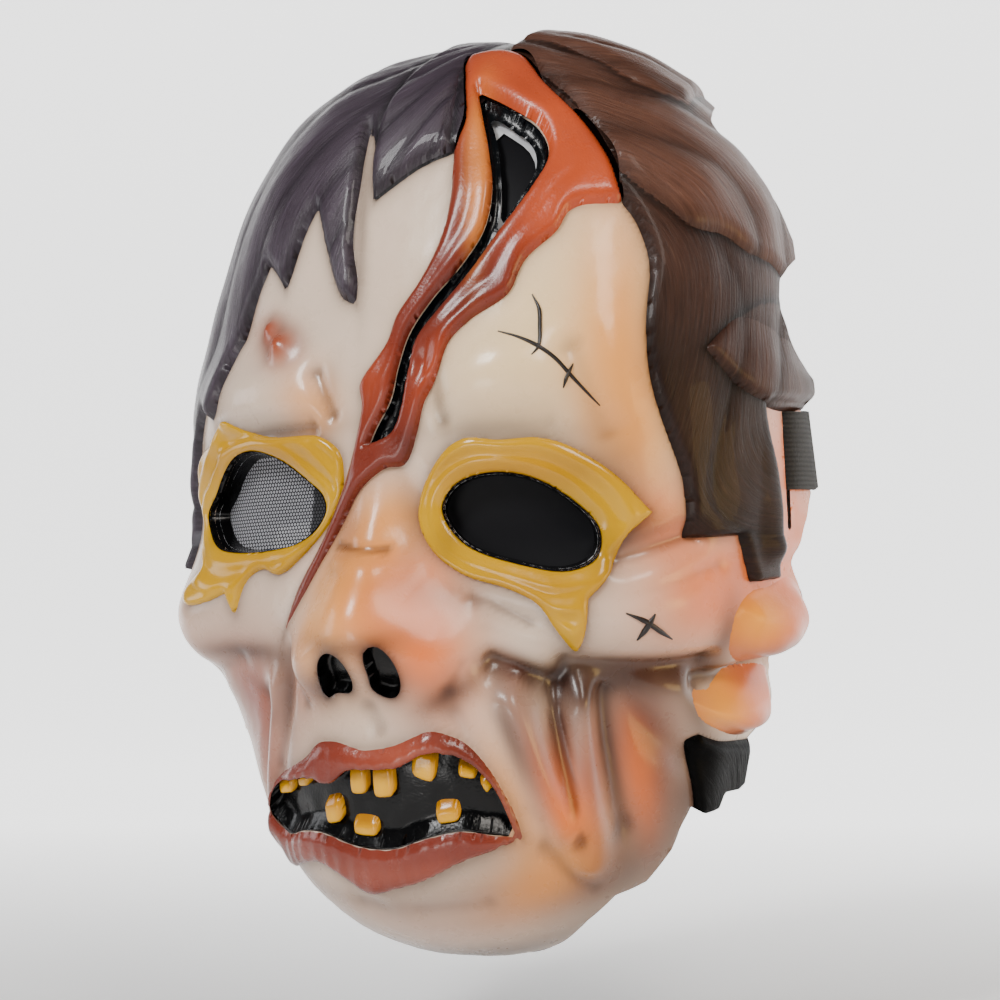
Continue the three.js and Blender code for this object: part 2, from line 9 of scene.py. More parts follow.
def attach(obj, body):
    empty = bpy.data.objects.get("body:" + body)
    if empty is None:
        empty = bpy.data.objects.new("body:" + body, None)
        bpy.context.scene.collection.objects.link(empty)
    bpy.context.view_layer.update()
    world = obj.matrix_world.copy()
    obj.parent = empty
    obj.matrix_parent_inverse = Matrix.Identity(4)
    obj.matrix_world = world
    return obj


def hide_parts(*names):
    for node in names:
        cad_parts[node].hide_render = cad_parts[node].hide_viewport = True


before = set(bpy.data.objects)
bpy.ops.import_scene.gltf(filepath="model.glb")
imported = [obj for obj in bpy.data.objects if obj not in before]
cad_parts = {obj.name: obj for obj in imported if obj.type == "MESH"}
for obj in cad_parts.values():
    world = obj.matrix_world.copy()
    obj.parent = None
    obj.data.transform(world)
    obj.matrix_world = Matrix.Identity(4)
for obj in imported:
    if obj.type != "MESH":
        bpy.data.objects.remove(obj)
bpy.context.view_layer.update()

# Camera, floor and light
# The camera looks at the face from its right and from a little below, with the head tipped clockwise.
# The floor is one sheet of pale paper that bends up behind the mask, under soft white light and a warm
# light from the side.
camera_turn, camera_rise, camera_roll = math.radians(28.5), math.radians(-2), math.radians(3)
camera_aim = Vector((0.0177, 0.0407, 0.003))
camera_distance = 0.76
back = Vector((math.sin(camera_turn) * math.cos(camera_rise), -math.cos(camera_turn) * math.cos(camera_rise),
               math.sin(camera_rise)))
level = Vector((math.cos(camera_turn), math.sin(camera_turn), 0))
above = back.cross(level)
right = level * math.cos(camera_roll) - above * math.sin(camera_roll)
top = level * math.sin(camera_roll) + above * math.cos(camera_roll)
camera = bpy.data.objects.new("camera", bpy.data.cameras.new("camera"))
camera.data.lens = 93
camera.data.sensor_width = 36
camera.data.dof.use_dof = False
turned = Matrix((right, top, back)).transposed().to_4x4()
camera.matrix_world = Matrix.Translation(camera_aim + back * camera_distance) @ turned
bpy.context.collection.objects.link(camera)
bpy.context.scene.camera = camera

floor_z = -0.16
paper_half_width, paper_half_length, bend_start, bend_radius, wall_stretch = 5, 3, 1.2, 0.9, 3
stage_mesh = bmesh.new()
bmesh.ops.create_grid(stage_mesh, x_segments=8, y_segments=60, size=1)
for v in stage_mesh.verts:
    along = v.co.y * paper_half_length
    past = max(along - bend_start, 0)
    bend = min(past / bend_radius, math.pi / 2)
    upright = max(past - bend_radius * math.pi / 2, 0)
    v.co.x *= paper_half_width
    v.co.y = min(along, bend_start) + bend_radius * math.sin(bend)
    v.co.z = floor_z + bend_radius * (1 - math.cos(bend)) + wall_stretch * upright
floor_data = bpy.data.meshes.new("floor")
stage_mesh.to_mesh(floor_data)
stage_mesh.free()
floor_data.shade_smooth()
floor = bpy.data.objects.new("floor", floor_data)
bpy.context.collection.objects.link(floor)


def feed(tree, node, feeds):
    """Links or sets a shader node's inputs, given by name or number, from sockets or plain values."""
    for entry, value in feeds.items():
        if isinstance(value, bpy.types.NodeSocket):
            tree.links.new(value, node.inputs[entry])
        else:
            node.inputs[entry].default_value = value


def add_node(tree, kind, feeds, **options):
    node = tree.nodes.new("ShaderNode" + kind)
    for option, value in options.items():
        setattr(node, option, value)
    feed(tree, node, feeds)
    return node


def empty_material(name):
    """A new material, with its node tree and its shader."""
    made = bpy.data.materials.new(name)
    made.use_nodes = True
    return made, made.node_tree, made.node_tree.nodes["Principled BSDF"]


# only the paper behind the mask glows, so the light on the mask keeps its direction
paper, tree, shader = empty_material("backdrop paper")
where = add_node(tree, "TexCoord", {})
parts = add_node(tree, "SeparateXYZ", {0: where.outputs["Object"]})
glow = add_node(tree, "MapRange", {"Value": parts.outputs["Y"], "From Min": 0.1, "From Max": 0.7})
feed(tree, shader, {"Base Color": (0.93, 0.93, 0.93, 1), "Roughness": 0.9, "Emission Color": glow.outputs[0],
                    "Emission Strength": 1.8})
floor_data.materials.append(paper)

world = bpy.data.worlds.new("studio")
world.use_nodes = True
world.node_tree.nodes["Background"].inputs["Color"].default_value = (1, 1, 1, 1)
world.node_tree.nodes["Background"].inputs["Strength"].default_value = 0.12
bpy.context.scene.world = world
for name, spot, size, power, tint in [
    ("key", (-0.25, -0.95, 0.85), 0.35, 15, (1, 1, 1)),
    ("warm side", (1.0, 0.05, -0.1), 0.45, 5, (1, 0.66, 0.25)),
    ("right above", (0.75, -0.55, 0.75), 0.35, 6.5, (1, 0.94, 0.87)),
    ("left edge", (-0.95, -0.2, 0.2), 0.4, 1.8, (0.96, 0.97, 1)),
    ("low front", (-0.1, -0.9, -0.12), 0.3, 2.4, (1, 0.97, 0.94)),
]:
    light = bpy.data.lights.new(name, "AREA")
    light.size = size
    light.energy = power
    light.color = tint
    lamp = bpy.data.objects.new(name, light)
    lamp.location = spot
    lamp.rotation_euler = (Vector((0, 0.03, 0)) - Vector(spot)).to_track_quat("-Z", "Y").to_euler()
    bpy.context.collection.objects.link(lamp)

# Skin
# The face is one moulding of glossy vinyl, 2.2 mm thick, painted a pale grey pink with airbrushed
# peach, orange and brown, and with painted shade in its hollows and under its bulges, a painted
# highlight on the brow and painted warm light on its right side. Its surface is a rounded head shape
# with bulges, hollows, ridges and creases, all given as angles seen from the middle of the head, in
# hundredths of a radian across and up.
mask_width, face_depth, crown_height, chin_height = 194, 80, 139, 129
squareness = 2.35
form_depth = 10
wall = 2.2
tab_x = 95.5
chart_turn = 0.044
mm = 0.001

# across, up, half width, half height, turn in degrees, height in form_depth
forms = [
    (-5, -33, 15, 13, 0, 2.0), (-4, -8, 8, 18, 0, 0.6), (-27, -43, 9, 8, 0, 0.75), (16, -43, 9, 8, 0, 0.75),
    (125, -90, 40, 40, -40, -1.4), (-122, -92, 40, 36, 40, -0.8), (0, -107, 38, 22, 0, 1.7),
    (-6, -76, 44, 20, 0, 1.3), (-96, -32, 20, 14, 0, 1.2), (80, -37, 20, 14, 0, 0.85),
    (-80, 85, 40, 30, -45, -0.35), (85, 100, 45, 40, 45, 0.4), (0, 125, 60, 25, 0, 0.3),
    (40, 39, 17, 12, 0, 0.85), (-50, 42, 22, 10, 0, 0.7), (75, 30, 7, 30, 12, 0.3),
    (-16, -96, 30, 9, 0, 0.2), (46, -5, 26, 15, -8, -0.3), (-54, 6, 27, 15, 0, -0.3),
    (-47, 63, 2.6, 2.6, 0, 0.3), (-40.5, 57, 3.4, 3.4, 0, 0.4), (62, -74, 15, 16, 0, -0.8),
    (-68, -66, 13, 13, 0, -0.4), (133, -57, 17, 12, -15, 0.8), (115, -89, 17, 8, -38, 0.5),
    (-142, -57, 17, 12, 15, 0.8), (-124, -89, 17, 8, 38, 0.5),
]
# across and up of both ends, half width, height in form_depth
folds = [
    (38, -57, 44, -88, 3.2, 0.5), (58, -64, 47, -98, 3.8, 0.5), (33, -49, 52, -59, 3.0, -0.5),
    (49, -62, 46, -92, 2.4, -0.35), (64, -66, 58, -98, 3.4, -0.4), (56, -53, 100, -62, 4, -0.6),
    (62, 46, 74, 22, 4, -0.22), (76, -20, 100, -14, 3, -0.3), (-26, 48, -21, 36, 2.6, -0.25),
    (20, -60, 31, -82, 3.4, -0.18), (70, -66, 84, -90, 5, -0.35), (-56, -60, -62, -84, 4, -0.3),
    (97, -70, 140, -78, 3, -0.6), (-106, -70, -149, -78, 3, -0.6), (-39, -44, -46, -72, 3.4, -0.3),
    (-48, -55, -53, -86, 4.2, 0.25), (25, -46, 37, -78, 4.5, 0.12), (-5, -56, -3, -61, 3, -0.15),
    (-19, -10, 3, -12, 1.3, -0.13), (-17, -14, 1, -16, 1.6, 0.08), (-74, 31, -30, 32, 2.4, -0.3),
    (30, 26, 56, 25, 4, -0.14), (17, 46, 23, 30, 3, -0.22), (66, -32, 108, -25, 2.2, -0.07),
    (30, -30, 46, -38, 2.0, -0.1), (34, -34, 48, -42, 1.6, 0.08), (-16, -98, 18, -100, 2.6, -0.14),
    (-60, -92, -40, -104, 2.6, -0.1), (36, -92, 44, -108, 2.2, -0.12), (-34, -48, -30, -55, 2.2, -0.16),
    (20, -52, 25, -46, 2.2, -0.14), (-70, -46, -96, -52, 3.2, -0.16), (-9, -92, -5, -99, 3, 0.08),
]
rim_rows = [
    (150, 50), (141, 57), (134, 63), (130, 69.5), (126, 76), (125, 82), (126, 87), (129.5, 94),
    (127, 102), (122, 107), (115.5, 112), (104, 118), (98, 120), (91, 120), (85, 124), (84, 142),
    (64, 155), (35, 163), (0, 166), (-35, 163), (-66, 154), (-92, 138), (-113, 121), (-131, 104),
    (-136, 90), (-135, 76), (-143, 62), (-158, 50), None, (-168, -10), (-158, -22), (-156, -33),
    (-163, -48), (-166, -60), (-163, -72), (-152, -80), (-145, -86), (-142, -98), (-133, -106),
    (-118, -107), (-108, -114), (-98, -109), (-86, -106), (-76, -112), (-58, -115), (-42, -120),
    (-28, -128), (-14, -136), (0, -138), (14, -134), (28, -125), (38, -118), (48, -114), (57, -117),
    (68, -113), (73, -108.5), (79, -105.5), (87.5, -111), (92, -109), (98, -115), (101.5, -116),
    (110, -107.5), (125, -108), (131, -104.5), (134.5, -97), (136, -89), (138.5, -84), (151, -78),
    (155.5, -71), (157.5, -61), (154, -48), (150, -38), (148, -32), (153, -20), (160, -9),
]
# Outlines: across, up, and 1 where the line turns a corner
outlines = {
    "eye_left": [
        (-92.5, 5), (-86, 11.5), (-78, 19.5), (-69, 24.3), (-58, 25.3), (-47, 22), (-36, 14.5), (-28.5, 8),
        (-27, 2.5), (-31, -3.5), (-40, -8.5), (-54, -10.3), (-68, -10.2), (-80, -8), (-88, -2.5)],
    "eye_right": [
        (21, 0), (26, 8), (38, 11.3), (52, 8.8), (64, 1), (71.5, -9), (70, -18), (61, -22.2), (45, -19.5),
        (28, -12)],
    "goo_left": [
        (-18, 14), (-19, 23), (-28, 29), (-48, 30), (-62, 33), (-73, 36.5), (-85, 31), (-100, 26),
        (-105, 14), (-98, 3), (-94, -8), (-88, -14, 1), (-94, -21), (-90, -25.5), (-79, -25.5),
        (-72, -23.5, 1), (-67, -31, 1), (-63, -20), (-57, -17), (-49, -19.3), (-38, -13.5), (-29, -6),
        (-20, 5)],
    "goo_right": [
        (12, -3), (14, 8), (22, 19), (30, 23), (42, 21.5), (54, 21.5), (64, 18), (77, 8), (88, -5, 1),
        (79, -13), (75, -21), (65, -31, 1), (62, -42), (59, -49.5, 1), (54, -40), (50, -32.5), (42, -28),
        (28, -23), (17, -14)],
    "wound": [
        (12, 128), (20, 131), (28, 128.5), (39, 117), (53, 106), (62, 97), (68.5, 86, 1), (55, 84),
        (52.5, 79), (45, 72), (41.5, 63), (31, 57), (25, 51.5), (22, 44), (17, 36), (13.5, 26), (8, 16),
        (1, 15), (-9, 8), (-18, -3), (-30, -21), (-41, -35), (-45, -40, 1), (-39, -25), (-30, -12),
        (-22, 2), (-15, 14), (-10, 27), (-7.5, 36), (-8, 43), (2, 55), (5, 62), (13, 71), (18, 80),
        (19.5, 90), (18, 101), (19, 108), (15, 119)],
    "split": [
        (20, 116.5, 1), (31, 111), (41, 105), (45.5, 98), (43, 90), (35, 78.5), (29, 70.5), (20, 61.5),
        (13, 54), (10, 42), (8, 34), (4, 27), (-5.5, 23.5, 1), (-2, 29.5), (4, 38), (6.5, 47),
        (10, 56.5), (17, 65), (26, 73), (31.5, 81), (32, 90), (28.5, 100), (24, 109)],
    "split_window": [
        (24.5, 112, 1), (32, 108), (39.5, 103), (42.5, 97.5), (40.5, 91), (35, 81.5, 1), (34.5, 90),
        (31.5, 100), (28, 107)],
    "mouth": [
        (-52, -84, 1), (-48, -78), (-38.5, -74.5), (-28.5, -72.3), (-20.5, -72.7), (-14, -69.7),
        (-8.5, -69.4), (2, -69.1), (10.5, -66.8), (17.5, -67.7), (23, -71), (27.7, -77), (30.5, -87.3, 1),
        (25, -85), (18, -82.7), (8, -83), (-2, -84.7), (-12, -84.5), (-24, -83.2), (-33, -84.5),
        (-43, -87.5)],
    "lips": [
        (-54, -88, 1), (-50, -78.5), (-40, -72.5), (-30.5, -68.2), (-25, -64.7), (-17.5, -64), (-8, -65.5),
        (0, -65), (7.5, -63.2), (12.3, -62.3), (18, -64), (23.5, -67.5), (28.6, -74.5), (31.5, -83),
        (32, -88, 1), (25, -87.8), (15, -88.7), (5, -91.3), (-4, -92.9), (-12, -94), (-19, -91.6),
        (-27, -90), (-36.5, -93), (-49, -99)],
    "nostril_left": [
        (-15.5, -39.5), (-10.5, -37), (-7, -38.5), (-6, -42), (-7, -47.5), (-9.5, -50.5), (-14, -50.5),
        (-19, -52.5), (-18.5, -47)],
    "nostril_right": [
        (1, -36.5), (4, -36), (7.3, -39.5), (8.5, -44), (7.5, -49), (4.5, -52.5), (0.5, -52), (-1.6, -49.5),
        (-0.5, -44)],
    "face": [
        (17.5, 101, 1), (8, 99), (-1, 95.5), (-6.3, 93, 1), (-8, 98), (-9.5, 107), (-12.4, 112, 1),
        (-12, 100), (-12.8, 84), (-10.7, 74), (-11, 67.5, 1), (-17, 70.5), (-22, 80), (-25.5, 89),
        (-28, 94, 1), (-33, 88), (-38, 80), (-41.5, 74.7, 1), (-45, 79), (-49.5, 83, 1), (-57, 74),
        (-62.5, 63, 1), (-66, 59.5), (-71, 49), (-76, 40.5), (-81, 37.5, 1), (-87, 43), (-97, 38),
        (-104, 22), (-107, 2), (-107, -15, 1), (-118, -16, 1), (-118, -88, 1), (-100, -125, 1),
        (0, -158, 1), (60, -130, 1), (80, -106, 1), (86, -88, 1), (117.5, -40, 1), (117.5, -15.5, 1),
        (98, -15, 1), (98.5, -3), (97, 8), (91, 23), (85, 38), (81.5, 53), (79.5, 70), (75, 79),
        (66, 88, 1), (40, 110, 1)],
    "side_right": [
        (112, -15.5, 1), (117.5, -15.5, 1), (120.5, -34, 1), (136, -36, 1), (136, -10), (134.5, 5),
        (131, 20), (127, 35, 1), (153, 42.5, 1), (175, 48, 1), (185, 0, 1), (180, -90, 1),
        (135, -120, 1), (112, -107, 1), (91, -86, 1), (86, -88, 1)],
    "side_left": [
        (-115, -15.5, 1), (-95, -125, 1), (-112, -112, 1), (-140, -122, 1), (-185, -90, 1),
        (-190, 0, 1), (-180, 49, 1), (-160, 43, 1), (-136, 35, 1), (-141, 10), (-145, -10),
        (-145, -36, 1), (-129, -35, 1), (-126, -15.5, 1)],
    "hair_upper": [
        (48, 110, 1), (66, 91), (80, 84.5), (89, 81), (98, 83), (109, 81.5), (120, 83), (140, 84, 1),
        (165, 110, 1), (140, 165, 1), (60, 190, 1), (26, 185, 1), (22, 142), (22, 131, 1)],
    "hair_tuft": [
        (24, 134, 1), (40, 128), (58, 119.5), (70, 119), (78, 121, 1), (79, 140, 1), (90, 170, 1),
        (60, 186, 1), (26, 186, 1)],
    "hair_fringe": [
        (13, 124, 1), (16, 112), (17.5, 101, 1), (8, 99), (-1, 95.5), (-6.3, 93, 1), (-8, 103),
        (-7, 118), (0, 140), (4, 175, 1), (20, 175, 1), (17, 140)],
}


def ease(value, low, high):
    share = np.clip((value - low) / (high - low), 0, 1)
    return share * share * (3 - 2 * share)


def direction(across, up):
    angle = np.hypot(across, up) * 0.01
    turn = np.arctan2(up, across)
    x, y, z = np.sin(angle) * np.cos(turn), -np.cos(angle), np.sin(angle) * np.sin(turn)
    c, s = math.cos(chart_turn), math.sin(chart_turn)
    return np.stack([x * c - y * s, x * s + y * c, z], -1)


def skin_radius(across, up):
    ray = direction(across, up)
    height = np.where(ray[..., 2] > 0, crown_height, chin_height)
    halves = (mask_width / 2, face_depth, height)
    radius = sum(np.abs(ray[..., k] / halves[k]) ** squareness for k in range(3)) ** (-1 / squareness)
    for at_across, at_up, half_width, half_height, degrees, rise in forms:
        turn = math.radians(degrees)
        along = ((across - at_across) * math.cos(turn) + (up - at_up) * math.sin(turn)) / half_width
        over = ((up - at_up) * math.cos(turn) - (across - at_across) * math.sin(turn)) / half_height
        radius = radius + rise * form_depth * np.exp(-0.5 * (along ** 2 + over ** 2))
    for x0, y0, x1, y1, half_width, rise in folds:
        dx, dy = x1 - x0, y1 - y0
        share = np.clip(((across - x0) * dx + (up - y0) * dy) / (dx * dx + dy * dy), 0, 1)
        away = np.hypot(across - x0 - share * dx, up - y0 - share * dy)
        radius = radius + rise * form_depth * np.exp(-0.5 * (away / half_width) ** 2)
    sideways = np.abs(across + chart_turn * 100)
    on_tab = (ease(sideways, 128, 138) * ease(up, -30, -20) * (1 - ease(up, 42, 52))
              * ease(np.abs(ray[..., 0]), 0.7, 0.8))
    return radius * (1 - on_tab) + on_tab * tab_x / np.maximum(np.abs(ray[..., 0]), 0.5)


def place(across, up, height):
    reach = skin_radius(across, up) + height
    return (np.array([0, face_depth, 0]) + reach[..., None] * direction(across, up)) * mm


def chart_of(x, y, z):
    ray = np.array([x, y - face_depth, z]) / math.dist((x, y, z), (0, face_depth, 0))
    c, s = math.cos(-chart_turn), math.sin(-chart_turn)
    reach = math.acos(-(ray[0] * s + ray[1] * c)) * 100
    turn = math.atan2(ray[2], ray[0] * c - ray[1] * s)
    return reach * math.cos(turn), reach * math.sin(turn)


def smooth_run(points, closed, count):
    """A centripetal Catmull-Rom curve, with count points between two given ones."""
    points = np.array(points, float)
    total = len(points)
    if total == 2:
        return points[:1]
    curve = []
    for i in range(total if closed else total - 1):
        b, c = points[i], points[(i + 1) % total]
        a = points[i - 1] if closed or i else 2 * b - c
        d = points[(i + 2) % total] if closed or i + 2 < total else 2 * c - b
        gaps = [max(np.linalg.norm(v) ** 0.5, 1e-3) for v in (b - a, c - b, d - c)]
        start = ((b - a) / gaps[0] - (c - a) / (gaps[0] + gaps[1]) + (c - b) / gaps[1]) * gaps[1]
        end = ((c - b) / gaps[1] - (d - b) / (gaps[1] + gaps[2]) + (d - c) / gaps[2]) * gaps[1]
        t = np.linspace(0, 1, count, endpoint=False)[:, None]
        curve.append((2 * t ** 3 - 3 * t ** 2 + 1) * b + (t ** 3 - 2 * t ** 2 + t) * start
                     + (3 * t ** 2 - 2 * t ** 3) * c + (t ** 3 - t ** 2) * end)
    return np.concatenate(curve)


def trace(rows, count=6):
    points = [row[:2] for row in rows]
    corners = [i for i, row in enumerate(rows) if len(row) > 2]
    if not corners:
        return smooth_run(points, True, count)
    runs = []
    for k, start in enumerate(corners):
        last = (corners[(k + 1) % len(corners)] - start + len(rows) - 1) % len(rows) + 2
        runs.append(smooth_run([points[(start + i) % len(rows)] for i in range(last)], False, count))
    return np.concatenate(runs)


lines = {name: trace(rows) for name, rows in outlines.items()}
tab_edge_y, tab_lean, strap_low = 90.5, 0.185, 1.5
tab_edge = {
    side: [chart_of(side * tab_x, tab_edge_y - tab_lean * (z - strap_low), z) for z in (0.5, 13.1, 25.8)]
    for side in (1, -1)}
slot_front, slot_rear, slot_heights = 71.6, 74.4, (-10.5, 1.2, 13, 24.8)
slot_corners = [(slot_front, slot_heights[0])] + [(slot_rear, z) for z in slot_heights] + [
    (slot_front, z) for z in slot_heights[:0:-1]]
for side, name in ((1, "slot_right"), (-1, "slot_left")):
    lines[name] = np.array([chart_of(side * tab_x, y, z) for y, z in slot_corners])
left_start = rim_rows.index(None)
lines["rim"] = np.array(tab_edge[1] + rim_rows[:left_start] + tab_edge[-1][::-1] + rim_rows[left_start + 1:])


def margin(line, across, up):
    """How far points are inside a closed line, less than 0 outside, and the nearest points of the line."""
    best = np.full(across.shape, 1e9)
    near = np.zeros(across.shape + (2,))
    inside = np.zeros(across.shape, bool)
    for (x0, y0), (x1, y1) in zip(line, np.roll(line, -1, axis=0)):
        dx, dy = x1 - x0, y1 - y0
        share = np.clip(((across - x0) * dx + (up - y0) * dy) / (dx * dx + dy * dy + 1e-9), 0, 1)
        nx, ny = x0 + share * dx, y0 + share * dy
        away = np.hypot(across - nx, up - ny)
        closer = away < best
        best = np.where(closer, away, best)
        near[closer] = np.stack([nx, ny], -1)[closer]
        if y0 != y1:
            inside ^= ((up < y0) != (up < y1)) & (across < x0 + (up - y0) / (y1 - y0) * dx)
    return np.where(inside, best, -best), near


def sheet(keep, cut, step):
    """A grid of chart points inside the kept lines and outside the cut ones, its edge moved onto them."""
    low = np.max([line.min(0) for line in keep], 0) - step
    high = np.min([line.max(0) for line in keep], 0) + step
    counts = np.ceil((high - low) / step).astype(int)
    grid = bmesh.new()
    bmesh.ops.create_grid(grid, x_segments=int(counts[0]), y_segments=int(counts[1]), size=0.5)
    spots = low + (np.array([v.co[:2] for v in grid.verts]) + 0.5) * (high - low)
    gap = np.full(len(spots), 1e9)
    near = spots.copy()
    for line, sign in [(line, 1) for line in keep] + [(line, -1) for line in cut]:
        inside, nearest = margin(line, spots[:, 0], spots[:, 1])
        smaller = sign * inside < gap
        gap[smaller] = (sign * inside)[smaller]
        near[smaller] = nearest[smaller]
    snapped = np.abs(gap) < 0.55 * step
    spots[snapped] = near[snapped]
    gap[snapped] = 0
    for v, (x, y) in zip(grid.verts, spots):
        v.co = (x, y, 0)
    grid.verts.index_update()
    for face in list(grid.faces):
        away = [loop for loop in face.loops if gap[loop.vert.index] < 0]
        if len(away) == 1 and len(face.loops) == 4:
            bmesh.utils.face_split(face, away[0].link_loop_next.vert, away[0].link_loop_prev.vert)
    outside = [v for v in grid.verts if 0 <= v.index < len(gap) and gap[v.index] < 0]
    bmesh.ops.delete(grid, geom=outside, context="VERTS")
    bmesh.ops.delete(grid, geom=[v for v in grid.verts if not v.link_faces], context="VERTS")
    return grid


def mesh_object(name, grid, surface, material, node="mask_shell"):
    """Turns a bmesh into a piece of the part; surface gives its vertices' places from their chart points."""
    data = bpy.data.meshes.new(name)
    spots = np.array([v.co[:3] for v in grid.verts])
    grid.to_mesh(data)
    grid.free()
    data.vertices.foreach_set("co", surface(spots).ravel())
    data.update()
    data.shade_smooth()
    data.materials.append(material)
    made = bpy.data.objects.new(name, data)
    bpy.context.collection.objects.link(made)
    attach(made, "root")
    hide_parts(node)
    return made, spots


def wobble(across, up, size, seed):
    """Smooth uneven values from -1 to 1, with features of about the given size."""
    total = np.zeros(np.shape(across))
    for k in range(5):
        angle = seed * 1.7 + k * 2.399
        reach = 2 * math.pi / size * (0.6 + 0.25 * k)
        along = across * math.cos(angle) + up * math.sin(angle)
        total = total + np.sin(along * reach + seed * 3.1 + k * 1.3)
    return total / 5


deepening = 1.5


def rgb(*levels):
    """A colour as seen, from 0 to 255, turned into reflected light and deepened, as the studio pales it."""
    shares = [v / 255 for v in levels]
    return tuple(((v + 0.055) / 1.055) ** (2.4 * deepening) if v > 0.04 else v / 12.92 for v in shares)


def paint(data, spots, ground, strokes, name="paint"):
    """Soft strokes over a ground colour, kept as a colour for each vertex: airbrushed paint, and painted
    shade and highlights where the strokes stand for them.
    """
    across, up = spots[:, 0], spots[:, 1]
    colour = np.tile(np.array(ground), (len(spots), 1))
    for shade, at_across, at_up, half_width, half_height, degrees, strength in strokes:
        turn = math.radians(degrees)
        along = ((across - at_across) * math.cos(turn) + (up - at_up) * math.sin(turn)) / half_width
        over = ((up - at_up) * math.cos(turn) - (across - at_across) * math.sin(turn)) / half_height
        cover = (strength * np.exp(-0.5 * (along ** 2 + over ** 2)))[:, None]
        colour = colour * (1 - cover) + np.array(rgb(*shade)) * cover
    layer = data.attributes.new(name, "FLOAT_COLOR", "POINT")
    layer.data.foreach_set("color", np.hstack([np.clip(colour, 0, 1), np.ones((len(spots), 1))]).ravel())


def result_of(tree, operation, *values, kind="Math"):
    """What a Math or Vector Math node makes of sockets or plain values."""
    return add_node(tree, kind, dict(enumerate(values)), operation=operation).outputs[0]


def vinyl_group():
    """Shared look of painted vinyl: uneven paint, a fine grain and gloss that varies."""
    tree = bpy.data.node_groups.new("painted vinyl", "ShaderNodeTree")
    tree.interface.new_socket("Colour", in_out="INPUT", socket_type="NodeSocketColor")
    for name, value in [("Mottle", 0.1), ("Gloss", 0.35), ("Grain", 0.1)]:
        tree.interface.new_socket(name, in_out="INPUT", socket_type="NodeSocketFloat").default_value = value
    for name, kind in [("Colour", "Color"), ("Roughness", "Float"), ("Normal", "Vector")]:
        tree.interface.new_socket(name, in_out="OUTPUT", socket_type="NodeSocket" + kind)
    given = tree.nodes.new("NodeGroupInput").outputs
    spot = add_node(tree, "TexCoord", {}).outputs["Object"]
    clouds, grain, streaks = [
        add_node(tree, "TexNoise", {"Vector": spot, "Scale": scale, "Detail": detail}).outputs["Fac"]
        for scale, detail in [(45, 6), (1300, 3), (160, 4)]]
    swing = result_of(tree, "SUBTRACT", clouds, 0.5)
    lightness = result_of(tree, "MULTIPLY_ADD", swing, given["Mottle"], 1)
    tint = add_node(tree, "VectorMath", {0: given["Colour"], "Scale": lightness}, operation="SCALE")
    rough = result_of(tree, "MULTIPLY_ADD", streaks, 0.18, given["Gloss"])
    relief = result_of(tree, "MULTIPLY_ADD", streaks, 3, grain)
    bump = add_node(tree, "Bump", {"Distance": 0.0004, "Strength": given["Grain"], "Height": relief})
    feed(tree, tree.nodes.new("NodeGroupOutput"), {
        "Colour": tint.outputs[0], "Roughness": rough, "Normal": bump.outputs[0]})
    return tree


vinyl = vinyl_group()


def vinyl_look(tree, feeds):
    return add_node(tree, "Group", feeds, node_tree=vinyl).outputs


def vinyl_material(name, colour=None, mottle=0.25, gloss=0.25, grain=0.12, coat=0.25, shine=0.4):
    """Painted vinyl in one colour, or in the colours painted on the vertices where none is given."""
    made, tree, shader = empty_material(name)
    if colour is None:
        colour = add_node(tree, "Attribute", {}, attribute_name="paint").outputs["Color"]
    else:
        colour = (*rgb(*colour), 1)
    look = vinyl_look(tree, {"Colour": colour, "Mottle": mottle, "Gloss": gloss, "Grain": grain})
    feed(tree, shader, {
        "Base Color": look["Colour"], "Roughness": look["Roughness"], "Normal": look["Normal"],
        "Coat Weight": coat, "Coat Roughness": 0.12, "Specular IOR Level": shine})
    return made


skin_paint = vinyl_material("skin paint", mottle=0.16, gloss=0.2, grain=0.1, coat=0.2, shine=0.3)
bare_areas = ["face", "side_right", "side_left"]
pits = ["mouth", "nostril_left", "nostril_right", "split"]
openings = ["eye_left", "eye_right"]
slots = ["slot_right", "slot_left"]


def skin_surface(spots):
    across, up = spots[:, 0], spots[:, 1]
    height = 0.22 * wobble(across, up, 26, 3) + 0.08 * wobble(across, up, 9, 5)
    for name in ("eye_left", "eye_right"):
        gap = -margin(lines[name], across, up)[0]
        height = height - 0.8 * np.exp(-np.clip(gap, 0, 99) / 1.2)
    return place(across, up, height)


skin, spots = mesh_object(
    "skin", sheet([lines["rim"]], [lines[n] for n in pits + openings + slots], 1.2), skin_surface, skin_paint)
pale, peach, orange, brown, rose, cream = (
    (224, 207, 192), (242, 180, 98), (238, 142, 8), (78, 42, 22), (172, 98, 68), (254, 230, 186))
burnt = (146, 80, 4)
